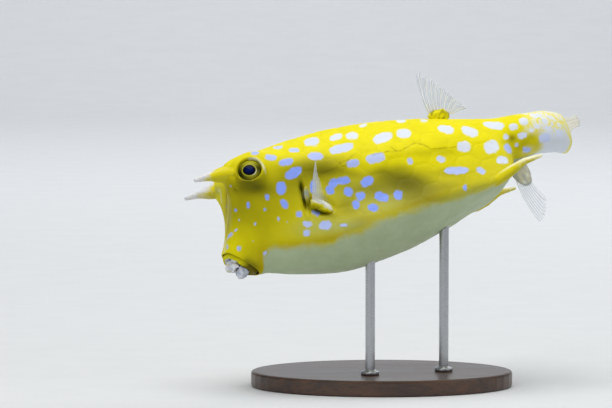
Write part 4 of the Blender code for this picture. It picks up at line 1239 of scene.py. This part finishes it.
def makeEye(word, finish):
    e = eyeDetail
    centre, look = eyeAxis(sides[word])
    up = np.array([0.25, 0, 1.0])
    up -= look * (up @ look)
    up /= np.linalg.norm(up)
    across = np.cross(look, up)
    cover = math.radians(e["cover"])
    angle = np.linspace(0, cover, e["rings"] + 1)[1:, None]
    turn = wholeTurn(e["around"])[None, :]

    # distance in mm from the pupil's edge, and what is painted round it
    reach = eyes["radius"] * np.sin(angle)
    ahead, above = reach * np.cos(turn) - e["pupilShift"][0], reach * np.sin(turn) - e["pupilShift"][1]
    wide, high = turnedBack(ahead, above, e["pupilTilt"])
    share = np.hypot(wide / (e["pupilWidth"] / 2), high / (e["pupilHeight"] / 2)) + 1e-6
    gap = np.where(angle < math.pi / 2, np.hypot(ahead, above) * (1 - 1 / share), 8.0)
    fibre = 0.5 + 0.28 * np.sin(31 * turn + 2 * np.sin(4 * turn)) * smoothStep(0, 1.5, gap)
    fibre = fibre + 0.22 * np.sin(53 * turn + 3 * np.sin(3 * turn) + gap)
    place, width, degrees = e["glint"]
    lit = np.clip(np.cos(turn - math.radians(degrees)), 0, 1) ** 9
    glint = 0.85 * np.exp(-(((gap - place) / width) ** 2)) * lit
    # the painted shade lies before and behind the pupil, widest before it
    before, behind = np.clip(np.cos(turn + 0.25), 0, 1) ** 1.5, np.clip(-np.cos(turn), 0, 1) ** 4
    shade = 0.95 * before + 0.9 * behind + 0.2 * np.clip(-np.sin(turn), 0, 1)
    shade = shade * smoothStep(0.3, 0.9, gap) * smoothStep(3.6, 2.4, gap)

    # the pupil is sunk a little, its ring raised, and the fibres stand in low relief
    rise = -0.10 * smoothStep(0.35, -0.1, gap) + 0.03 * np.exp(-(((gap - 0.25) / 0.2) ** 2))
    rise = rise - (0.05 * (1 - fibre) + 0.04) * (gap > 0)
    flat = eyes["depth"] / eyes["radius"]
    points = centre + (eyes["radius"] + rise)[..., None] * (
        flat * np.cos(angle)[..., None] * look
        + (np.sin(angle) * np.cos(turn))[..., None] * across
        + (np.sin(angle) * np.sin(turn))[..., None] * up
    )
    ends = [centre + look * (eyes["depth"] - 0.1), centre + look * eyes["depth"] * math.cos(cover)]
    vertices = np.concatenate([points.reshape(-1, 3), ends])
    ball = newPiece("eye_ball_" + word, vertices, closedFaces(*gap.shape), finish)
    addFields(
        ball, pupilGap=withEnds(gap, -3, 8), irisReach=withEnds(np.broadcast_to(reach, gap.shape), 0, 8),
        glint=withEnds(glint), shade=withEnds(shade), fibre=withEnds(np.clip(fibre, 0, 1)),
    )
    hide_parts("eye_" + word)
    return ball


# Lips

lipFinish = {
    "flesh": "#F8F8FC",
    "grey": "#A9B2C6",
    "yellow": "#D2CB66",
    # fold: painted shade in the lips' pleats and where the lips meet
    "fold": "#3A342A",
    "mottleSize": 2.4,  # mm
    "fineSize": 0.35,  # mm, coarser than real pores so that they show
}


def foldedSilicone():
    # Soft silicone flesh: matt, a little see-through at its edges, with painted shade down in the folds
    made, tree, get = newMaterial("tintedSiliconeLip", "fold", "stain", "warm")
    f = lipFinish
    fine = addPattern(tree, "Noise", f["fineSize"], {"Detail": 2.0})
    mottle = addPattern(tree, "Noise", f["mottleSize"], {"Detail": 1.5})
    patch = addNode(tree, "ShaderNodeMapRange", {1: 0.42, 2: 0.8}, {0: mottle})
    colour = paintOver(
        tree, f["flesh"],
        (patch, f["grey"]), (get["warm"], f["yellow"]), (get["stain"], f["grey"]),
        (get["fold"], f["fold"]),
    )
    finishSurface(
        tree, colour,
        {
            "IOR": 1.41,  # silicone
            "Subsurface Weight": 0.3,
            "Subsurface Radius": (0.9, 0.6, 0.5),
            "Subsurface Scale": 2 * mm,
        },
        sheen=(fine, 0.3, 0.7, 0.4, 0.6), relief=(fine, 0.2, 0.1),
    )
    return made


lips = {
    "centre": (-1.6, 0, -0.3),
    "halfWidth": 5.25,
    "halfHeight": 3.6,
    "thickness": 2.1,
    "around": 56,
    "rootShift": 2.9,  # of the flesh behind each lip, away from the opening
    "rootSizes": (4.4, 5.3, 3.2),
    # grey is the least stain and what lumps add to it
    "upper": {"up": 1, "reach": 1.6, "seed": 31, "grey": (0.0, 0.25), "warm": 0.55, "rootWarm": 0.6},
    "lower": {"up": -1, "reach": 1.0, "seed": 37, "grey": (0.4, 0.55), "warm": 0.15, "rootWarm": 0.1},
}


def makeLip(word, finish):
    lip = lips[word]
    up, around = lip["up"], lips["around"]
    middle = np.array(lips["centre"])
    angle = np.radians(np.linspace(4, 176, 90))
    centres = (
        middle
        + np.cos(angle)[:, None] * np.array([0, lips["halfWidth"], 0])
        + (up * lips["halfHeight"] * np.sin(angle))[:, None] * mouthUp
        + (lip["reach"] * np.sin(angle))[:, None] * mouthOut
    )
    radii = lips["thickness"] * (0.42 + 0.58 * np.sin(angle)) * 0.96
    ends = np.sin(np.linspace(0.25, math.pi - 0.25, len(radii))) ** 0.25
    rings, ways = tubeAlong(centres, radii * ends, around, mouthOut)
    share = np.linspace(0, 1, len(centres))[:, None]
    turn = wholeTurn(around)[None, :]
    pleat = np.sin(share * 78 + 1.6 * np.sin(turn) + 1.4 * np.sin(9 * share)) * np.sin(angle)[:, None]
    lump = waves(rings, 4.2, lip["seed"])
    swell = 0.07 * pleat + 0.2 * lump * np.sin(angle)[:, None]
    vertices, faces = closedTube(rings + ways * swell[..., None])
    least, more = lip["grey"]
    flesh = newPiece("lip_" + word + "_flesh", vertices, faces, finish)
    # fold is painted shade down in the pleats
    addFields(
        flesh, fold=withEnds(0.3 * smoothStep(-0.5, -0.98, pleat)),
        stain=withEnds(least + more * smoothStep(-0.2, 0.9, lump)),
        warm=lip["warm"] * smoothStep(0.1, 0.9, waves(vertices, 4.5, 43)),
    )
    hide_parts("lip_" + word)

    # the pleated flesh that the lip grows from, with painted shade in its pleats and where the two meet
    centre = middle + up * lips["rootShift"] * mouthUp - 0.8 * mouthOut
    points, unit, turn = softBall(
        centre, lips["rootSizes"], turned(-mouth["tilt"], "Y"), 63 + up, 0.06, 5, 0.035
    )
    vertices, faces = closedTube(points)
    crease = np.sin(5 * turn + 1.2 * np.sin(3 * turn)) * np.sqrt(1 - unit[..., 0] ** 2)
    pleat = withEnds(0.25 * smoothStep(-0.6, -0.98, crease))
    cleft = 0.55 * smoothStep(1.2, 0.1, np.abs((vertices - middle) @ mouthUp))
    root = newPiece("lip_" + word + "_root", vertices, faces, finish)
    addFields(
        root, fold=np.maximum(pleat, cleft),
        stain=least + more * smoothStep(-0.2, 0.9, waves(vertices, 4.2, 71 + up)),
        warm=lip["rootWarm"] * smoothStep(0.2, 1.0, waves(vertices, 4.0, 45 + up)),
    )
    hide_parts("lip_" + word)


# Fins

finFinish = {
    "web": "#E3ECF8",
    "ray": "#FBFCFF",
    "root": "#F6F6F2",
    "rootWarm": "#E2DCB4",
    "shadow": "#C9D6EA",
    "cloudSize": 3,  # mm
}


def clearCastFin():
    # Clear cast urethane sheet with white rays: light passes through the web, the rays stay solid
    made, tree, get = newMaterial("clearCastFin", "ray", "reach", "rootTint", "clear")
    f = finFinish
    cloud = addPattern(tree, "Noise", f["cloudSize"], {"Detail": 3.0})
    flesh = paintOver(tree, f["root"], (cloud, f["rootWarm"]))
    colour = paintOver(
        tree, f["web"], (cloud, f["shadow"]), (get["ray"], f["ray"]), (get["rootTint"], flesh)
    )

    # the web thins out towards the edge, and rays and root let less through
    thin = addNode(tree, "ShaderNodeMapRange", {1: 0.0, 2: 1.0, 3: 0.55, 4: 0.30}, {0: get["reach"]})
    alpha = addNode(tree, "ShaderNodeMath", {"operation": "MULTIPLY", 1: 0.5}, {0: get["ray"]})
    for kind, other in (("ADD", thin), ("MULTIPLY", get["clear"]), ("MAXIMUM", get["rootTint"])):
        settings = {"operation": kind, "use_clamp": kind == "ADD"}
        alpha = addNode(tree, "ShaderNodeMath", settings, {0: alpha, 1: other})
    finishSurface(
        tree, colour,
        {
            "IOR": 1.48,  # urethane
            "Specular IOR Level": 0.3,
            "Subsurface Weight": 0.7,
            "Subsurface Radius": (1.0, 1.0, 1.0),
            "Subsurface Scale": 2 * mm,
        },
        sheen=(cloud, 0.3, 0.7, 0.3, 0.45), relief=(cloud, 0.3, 0.08),
    )
    tree.links.new(alpha, tree.nodes["Principled BSDF"].inputs["Alpha"])
    return made


# what a fin is like unless its own plan says otherwise
plainFin = {
    "steps": 44,  # rows of vertices from root to edge
    "web": 0.24,  # mm thick at the root
    "bulge": 0.24,  # mm by which rays are thicker
    "scallop": 0.05,  # share of its length by which the edge draws in between rays
    "fold": 0.0,  # mm by which it is pleated along its rays
    "tint": 0.8,  # how far the root's flesh hides the sheet
    "tintFrom": 0.02,  # shares of the length over which that flesh ends
    "tintEnd": 0.22,
    "fadeFrom": (2, 3),  # shares of the width over which the sheet fades: past 1, nowhere
    "clear": 1.0,  # how much of the sheet shows
    "rayShow": 1.0,  # how white its rays are
}


def fanOut(plan):
    # points of a fin's middle sheet, with how far out each lies (f) and how far from the nearest ray
    # (off). v runs across the fin and r from root to edge.
    rays, steps = plan["rays"], plan["steps"]
    v = np.linspace(0, 1, rays * 14 + 1)
    r = np.linspace(0, 1, steps + 1)[:, None]
    place = v * rays - 0.5
    off = np.abs(place - np.clip(np.round(place), 0, rays - 1))
    edge = 1 - plan["scallop"] * np.clip(off * 2, 0, 1) ** 1.5
    edge = edge - 0.012 * np.abs(np.sin(place * 9.0))
    f = r * edge
    points = plan["root"](v) * (1 - f[..., None]) + plan["tip"](v) * f[..., None]
    points = points + plan["sweep"](v) * (4 * f * (1 - f))[..., None]
    lean = plan["curl"] * f**2 + plan["fold"] * np.cos(math.pi * place) * np.clip(3 * f, 0, 1)
    return points + lean[..., None] * np.array(plan["side"], float), f, off, v, r


def sheetFaces(rows, across, flip):
    # two layers of quads and the rim that joins them
    count = rows * across
    first = gridFaces(rows, across, closed=False)
    second = [tuple(count + k for k in reversed(face)) for face in first]
    if not flip:
        first = [tuple(reversed(face)) for face in first]
        second = [tuple(reversed(face)) for face in second]
    ring = [(0, j) for j in range(across)] + [(i, across - 1) for i in range(1, rows)]
    ring += [(rows - 1, j) for j in range(across - 2, -1, -1)] + [(i, 0) for i in range(rows - 2, 0, -1)]
    index = [i * across + j for i, j in ring]
    rims = []
    for a, b in zip(index, index[1:] + index[:1]):
        rims.append((a, b, count + b, count + a) if flip else (b, a, count + a, count + b))
    return first + second + rims


def makeFin(name, plan, finish):
    # a sheet of forking rays with the thin web between them, closed all round
    plan = {**plainFin, **plan}
    points, f, off, v, r = fanOut(plan)
    # each ray forks into two beyond its middle
    fork = 0.17 * smoothStep(0.4, 1.0, f)
    width = 0.14 * (1 - 0.45 * f)
    ridge = np.exp(-(((off - fork) / width) ** 2))
    ringed = 1 + 0.16 * np.sin(f * plan["joints"])
    half = (plan["web"] * (1 - 0.4 * f) + plan["bulge"] * ridge * (1 - 0.7 * f) * ringed) / 2
    half = half * (1 - smoothStep(0.94, 1.0, r) * 0.7)
    normals = np.cross(np.gradient(points, axis=0), np.gradient(points, axis=1))
    normals /= np.maximum(np.linalg.norm(normals, axis=-1, keepdims=True), 1e-9)
    normals *= np.sign((normals @ np.array(plan["side"], float)).mean())
    ripple = 0.10 * waves(points, 7, plan["seed"]) * f
    points = points + ripple[..., None] * normals
    over, under = points + half[..., None] * normals, points - half[..., None] * normals
    flip = np.dot(np.cross(over[1, 0] - over[0, 0], over[0, 1] - over[0, 0]), normals[0, 0]) > 0
    vertices = np.concatenate([over.reshape(-1, 3), under.reshape(-1, 3)])
    fin = newPiece(name, vertices, sheetFaces(*f.shape, flip), finish)

    fade = smoothStep(*plan["fadeFrom"], v)
    tint = (1 - smoothStep(plan["tintFrom"], plan["tintEnd"], f)) * plan["tint"] * (1 - 0.9 * fade)
    painted = {
        "ray": ridge * plan["rayShow"],
        "reach": f,
        "rootTint": tint,
        # how much of the sheet shows: a clear part stays faint
        "clear": plan["clear"] * (1 - 0.85 * fade) * np.ones_like(f),
    }
    addFields(fin, **{field: np.tile(values.ravel(), 2) for field, values in painted.items()})
    return fin


def column(*parts):
    # a point for each of many places, from numbers and lists
    return np.stack(np.broadcast_arrays(*[np.asarray(p, float) for p in parts]), -1)


dorsalFin = {
    "rays": 9,
    "root": lambda v: column(120 + 13 * v, 0, 46.4 - 3 * v),
    "tip": lambda v: column(121.2 + 18.6 * v**0.85, 0, 70 - 26.4 * v**1.05),
    "sweep": lambda v: column(-1.3 + 0.6 * v, 0, 0.4),
    "side": (0, 1, 0),
    "curl": -1.5,
    "joints": 90,
    "seed": 11,
    "tintEnd": 0.4,
}
analFin = {
    "rays": 8,
    "root": lambda v: column(150.8 + 6.6 * v, 0.4, 1 + 3.6 * v),
    "tip": lambda v: column(154 + 8 * v**0.9, -1, -24.4 + 11.4 * v**1.6),
    "sweep": lambda v: column(-1.2, 0, 0.2 + 0 * v),
    "side": (0, 1, 0),
    "curl": -1.2,
    "joints": 90,
    "seed": 12,
    "bulge": 0.08,
    "rayShow": 0.45,
    "tint": 0.3,
    "clear": 0.7,
}
pectoralFin = {
    "rays": 10,
    "roots": ((39.6, 25, 15.6), (42.6, 25.4, 13), (45.8, 25.8, 10), (48.4, 25.8, 6.8)),
    "tips": ((47.2, 32.6, 35), (44.6, 34.4, 26.6), (44, 35.4, 20.2), (44.6, 35.2, 13.4), (46.2, 33.4, 5.4)),
    "curl": 0.0,
    "joints": 80,
    "seed": 14,
    "tint": 0.95,
    "tintEnd": 0.4,
    "fadeFrom": (0.2, 0.7),
    "web": 0.34,
    "bulge": 0.08,
    "rayShow": 0.28,
}
tailBack = shellEnd + stalkLength
tailFin = {
    "rays": 9,
    "steps": 90,
    "root": lambda v: bendTail(column(tailBack - 2, 0, 31.4 - 17.4 * v)),
    "tip": lambda v: bendTail(column(tailBack + 60 - 9 * np.abs(v - 0.4), 0, 39.4 - 6.8 * v)),
    "sweep": lambda v: column(0, 0, -1.6 + 4 * v),
    "side": (-math.sin(stalkBend), math.cos(stalkBend), 0),
    "curl": 1.5,
    "fold": 0.06,
    "joints": 170,
    "seed": 13,
    "web": 1.2,
    "bulge": 0.1,
    "tint": 1.0,
    "tintFrom": 0.8,
    "tintEnd": 1.25,
}


fleshSizes = {
    "dorsalFoot": (5.9, 1.9, 3.9),
    "analLobe": (4.9, 2.25, 9.4),
    "pectoralArm": (6.4, 3.0, 2.7),
    "tailFoot": (9.5, 1.3, 6.6),
    "gillFlap": (1.45, 0.85, 4.7),
}


def makeFins(finish, resin):
    fin = makeFin("dorsalFin", dorsalFin, finish)
    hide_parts("dorsal_fin")
    sizes = fleshSizes["dorsalFoot"]
    foot, at = makeFlesh("dorsalFoot", (124.6, 0, 44.4), sizes, turned(14, "Y"), resin, 51, 0.07, 7)
    patch = waves(at, 2.8, 55)
    plainFields(
        foot, height=0.8, olive=0.55 * smoothStep(0.0, 1.1, patch), pale=0.4 * smoothStep(0.6, 1.4, -patch)
    )
    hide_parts("dorsal_fin")

    fin = makeFin("analFin", analFin, finish)
    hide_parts("anal_fin")
    lobe, at = makeFlesh(
        "analLobe", (154.6, 0.5, 5.4), fleshSizes["analLobe"], turned(-12, "Y"), resin, 52
    )
    patch = waves(at, 2.6, 56)
    tip = smoothStep(-1.0, -3.4, at[:, 2])
    plainFields(
        lobe, ochre=0.7, bone=0.5, height=0.2, pale=0.5 * smoothStep(0.5, 1.4, waves(at, 3.0, 57)),
        olive=0.25 + 0.5 * np.maximum(smoothStep(-0.4, 0.9, patch), tip),
    )
    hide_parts("anal_fin")

    for word in sides:
        makePectoral(word, finish, resin)

    fin = makeFin("tailFin", tailFin, finish)
    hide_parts("tail_fin")
    centre = bendTail(column(tailBack + 3.5, 0, 23.4))
    turn = turned(math.degrees(stalkBend), "Z") @ turned(-6, "Y")
    foot, at = makeFlesh("tailFoot", centre, fleshSizes["tailFoot"], turn, resin, 54, 0.05, 9)
    low = smoothStep(22, 17, at[:, 2])
    plainFields(foot, height=1.0, bone=1.0, boneYellow=0.5, endBand=0.4 * low)
    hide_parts("tail_fin")


def makePectoral(word, finish, resin):
    side = sides[word]
    roots, tips = ([(x, side * y, z) for x, y, z in pectoralFin[name]] for name in ("roots", "tips"))
    out = np.cross(np.subtract(roots[-1], roots[0]), np.subtract(tips[2], roots[1])) * side
    plan = {
        **pectoralFin,
        "root": lambda v: lineThrough(roots, v),
        "tip": lambda v: lineThrough(tips, v),
        "sweep": lambda v: column(-0.6, side * 0.4, 0.3 + 0 * v),
        "side": out / np.linalg.norm(out),
    }
    fin = makeFin("pectoralFin_" + word, plan, finish)
    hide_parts("pectoral_fin_" + word)

    # the fleshy arm, white above and olive below, the olive painted shade
    sizes = fleshSizes["pectoralArm"]
    middle = (np.array(roots[0]) + np.array(roots[-1])) / 2 + np.array([-0.4, -side * 1.2, 1.2])
    turn = turned(44, "Y")
    arm, at = makeFlesh("pectoralArm_" + word, middle, sizes, turn, resin, 53, 0.05)
    high = (at - middle) @ turn[:, 2] / sizes[2] + 0.12 * waves(at, 3.4, 58)
    ahead = (at - middle) @ turn[:, 0] / sizes[0]
    white = smoothStep(-0.38, 0.02, high - 0.1 * ahead) * smoothStep(1.0, 0.7, np.abs(ahead))
    plainFields(arm, height=0.8, ochre=0.2, olive=0.7 * smoothStep(-0.4, -1.0, high), pale=0.95 * white)
    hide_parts("pectoral_fin_" + word)


def softBall(centre, sizes, turn, seed, lump, ribs=0, ribDepth=0.04):
    # an uneven ball, stretched along three axes, with ribs that run from pole to pole
    rings, around = 40, 64
    angle = np.linspace(0, math.pi, rings + 2)[1:-1, None]
    turns = wholeTurn(around)[None, :]
    unit = np.stack(
        [np.cos(angle) + 0 * turns, np.sin(angle) * np.cos(turns), np.sin(angle) * np.sin(turns)], -1
    )
    size = 1 - lump + lump * waves(unit * 10, 7, seed)
    size = size + ribDepth * np.sin(ribs * turns + 1.2 * np.sin(3 * turns)) * np.sin(angle) * (ribs > 0)
    return np.array(centre) + (unit * np.array(sizes) * size[..., None]) @ turn.T, unit, turns


def makeFlesh(name, centre, sizes, turn, finish, seed, lump=0.03, ribs=0):
    # a soft swelling, such as a fin grows from
    vertices, faces = closedTube(softBall(centre, sizes, turn, seed, lump, ribs)[0])
    return newPiece(name, vertices, faces, finish), vertices


def makeGillFlaps(finish):
    sizes = fleshSizes["gillFlap"]
    for word, side in sides.items():
        place = sidePoint(38.4, 20.6, side, -0.1)
        turn = turned(14, "Y") @ turned(-24 * side, "Z")
        flap, at = makeFlesh("gillFlap_" + word + "_flesh", place, sizes, turn, finish, 61)
        along = (at - place) @ turn[:, 2]
        grey = 0.8 * np.exp(-(((along - 0.6) / 2.4) ** 2))
        plainFields(flap, height=0.4, flap=grey, olive=0.3 + 0.35 * smoothStep(0, -4, along))
        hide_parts("gill_flap_" + word)


# Stand

walnutFinish = {
    "dark": "#2B1B12",
    "light": "#5A3A24",
    "pore": "#1A100A",
    "ringSize": 6,  # mm
    "poreSize": 0.9,  # mm, coarser than real pores so that they show
}
steelFinish = {
    "dark": "#A9ABAE",
    "light": "#C3C5C8",
    "brushSize": 0.25,  # mm, coarser than real brushing so that it shows
}


def lacqueredWalnut():
    # Walnut under satin lacquer: quiet dark grain that runs along the base, even low gloss
    made, tree, _ = newMaterial("lacqueredWalnut")
    f = walnutFinish
    along = (0.12, 1.0, 1.0)
    growth = {"Detail": 5.0, "Roughness": 0.6, "Distortion": 0.6}
    rings = addPattern(tree, "Noise", f["ringSize"], growth, along)
    pores = addPattern(tree, "Noise", f["poreSize"], {"Detail": 2.0}, along)
    grain = addNode(tree, "ShaderNodeMapRange", {1: 0.3, 2: 0.7}, {0: rings})
    pore = addNode(tree, "ShaderNodeMapRange", {1: 0.58, 2: 0.7, 3: 0.0, 4: 0.6}, {0: pores})
    finishSurface(
        tree, paintOver(tree, f["dark"], (grain, f["light"]), (pore, f["pore"])),
        {
            "IOR": 1.5,  # lacquer
            "Coat Weight": 0.35,
            "Coat Roughness": 0.2,
        },
        sheen=(rings, 0.3, 0.7, 0.34, 0.46), relief=(pores, 0.25, 0.08),
    )
    return made


def brushedSteel():
    # Stainless rod brushed round its axis: bright with fine rings in the highlight
    made, tree, _ = newMaterial("brushedStainlessSteel")
    f = steelFinish
    brushed = addPattern(tree, "Noise", f["brushSize"], {"Detail": 3.0}, (0.08, 0.08, 1.0))
    finishSurface(
        tree, paintOver(tree, f["dark"], (brushed, f["light"])), {"Metallic": 1.0},
        sheen=(brushed, 0.3, 0.7, 0.24, 0.4), relief=(brushed, 0.15, 0.03),
    )
    return made


rodCollar = {
    # radius and height above the base, in mm, once round the section
    "section": (
        (2.45, 0.02), (4.3, 0.02), (4.6, 0.25), (4.6, 1.5), (4.3, 1.9), (3.2, 2.1), (2.9, 2.6), (2.45, 2.7),
    ),
    "around": 64,
}


def finishStand():
    walnut, steel = lacqueredWalnut(), brushedSteel()
    for name, finish in (("stand_base", walnut), ("stand_rod_front", steel), ("stand_rod_rear", steel)):
        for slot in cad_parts[name].material_slots:
            slot.material = finish
    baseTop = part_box("stand_base")[1][2]
    for word in ("front", "rear"):
        makeCollar(word, baseTop, steel)


def makeCollar(word, baseTop, steel):
    # a turned collar round the foot of a rod
    low, high = (Vector(corner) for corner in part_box("stand_rod_" + word))
    middle = (low + high) / 2
    section, around = rodCollar["section"], rodCollar["around"]
    vertices = []
    for radius, height in section:
        for turn in wholeTurn(around):
            x, y = middle.x + radius * mm * math.cos(turn), middle.y + radius * mm * math.sin(turn)
            vertices.append((x, y, baseTop + height * mm))
    # one ring more than there are, which is the first again, closes the section
    faces = gridFaces(len(section) + 1, around)
    faces = [tuple(k % len(vertices) for k in reversed(face)) for face in faces]
    collar = newObject("rodCollar_" + word, vertices, faces, steel)
    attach(collar, "root")


# Stage: a pale sweep under soft light


sweep = {
    "halfWidth": 6.0,  # m
    "front": -6.0,
    "bendAt": 2.1,
    "bendRadius": 0.7,
    "top": 3.0,
    "paper": ("#DCDFE3", "#E2E5E8"),
}


def mattPaper():
    # Matt paper: no shine, a very faint fibre in its tone, drawn far coarser than real
    made, tree, _ = newMaterial("paperSweep")
    fibre = addNode(tree, "ShaderNodeTexNoise", {"Scale": 400.0, "Detail": 3.0})
    dark, light = sweep["paper"]
    finishSurface(tree, paintOver(tree, dark, (fibre, light)), {"Roughness": 0.9})
    return made


def makeStage():
    at, radius, wide = sweep["bendAt"], sweep["bendRadius"], sweep["halfWidth"]
    profile = [(sweep["front"], 0.0), (at, 0.0)]
    for k in range(1, 13):
        angle = math.radians(90 * k / 12)
        profile.append((at + radius * math.sin(angle), radius * (1 - math.cos(angle))))
    profile.append((at + radius, sweep["top"]))
    vertices = [(x, y, z) for y, z in profile for x in (-wide, wide)]
    faces = [(2 * k, 2 * k + 1, 2 * k + 3, 2 * k + 2) for k in range(len(profile) - 1)]
    newObject("floor", vertices, faces, mattPaper())


lights = {
    # name: place in m, what it is aimed at, size in m, watts, colour
    "key": ((-0.15, -0.15, 1.5), (0, 0, 0.1), 1.2, 18.5, "#FFFDF8"),
    "fill": ((-1.0, -1.5, 0.5), (0, 0, 0.1), 1.2, 2.5, "#F6F6FA"),
    "rim": ((0.9, 0.8, 0.9), (0, 0, 0.1), 0.8, 3, "#FFFFFF"),
    "tail": ((1.1, -0.6, 0.8), (0, 0, 0.1), 0.9, 2.0, "#FFFDF8"),
    # behind the fish, for the sweep alone
    "backdrop": ((0, 1.4, 1.6), (0, 2.8, 0.5), 1.6, 18, "#FFFFFF"),
}
room = {"colour": "#EEF1F5", "strength": 0.3}


def makeLights():
    for name, (place, aim, size, watts, colour) in lights.items():
        data = bpy.data.lights.new(name, "AREA")
        data.size = size
        data.energy = watts
        data.color = linear(colour)[:3]
        obj = bpy.data.objects.new(name, data)
        obj.location = place
        obj.rotation_euler = (Vector(aim) - Vector(place)).to_track_quat("-Z", "Y").to_euler()
        bpy.context.scene.collection.objects.link(obj)
    world = bpy.data.worlds.new("room")
    world.use_nodes = True
    background = world.node_tree.nodes["Background"]
    background.inputs["Color"].default_value = linear(room["colour"])
    background.inputs["Strength"].default_value = room["strength"]
    bpy.context.scene.world = world
    bpy.context.scene.view_settings.view_transform = "Standard"


makeStage()
makeLights()
print("stage, lights and camera set")

resin = airbrushedResin()
skin = makeSkin(resin)
print("skin laid:", len(skin.data.vertices), "points")
makeHorns()
glass = blownGlassEye()
for word in sides:
    makeEye(word, glass)
silicone = foldedSilicone()
for word in ("upper", "lower"):
    makeLip(word, silicone)
print("horns, eyes and lips placed")
makeFins(clearCastFin(), resin)
makeGillFlaps(resin)
finishStand()
print("fins and stand finished")
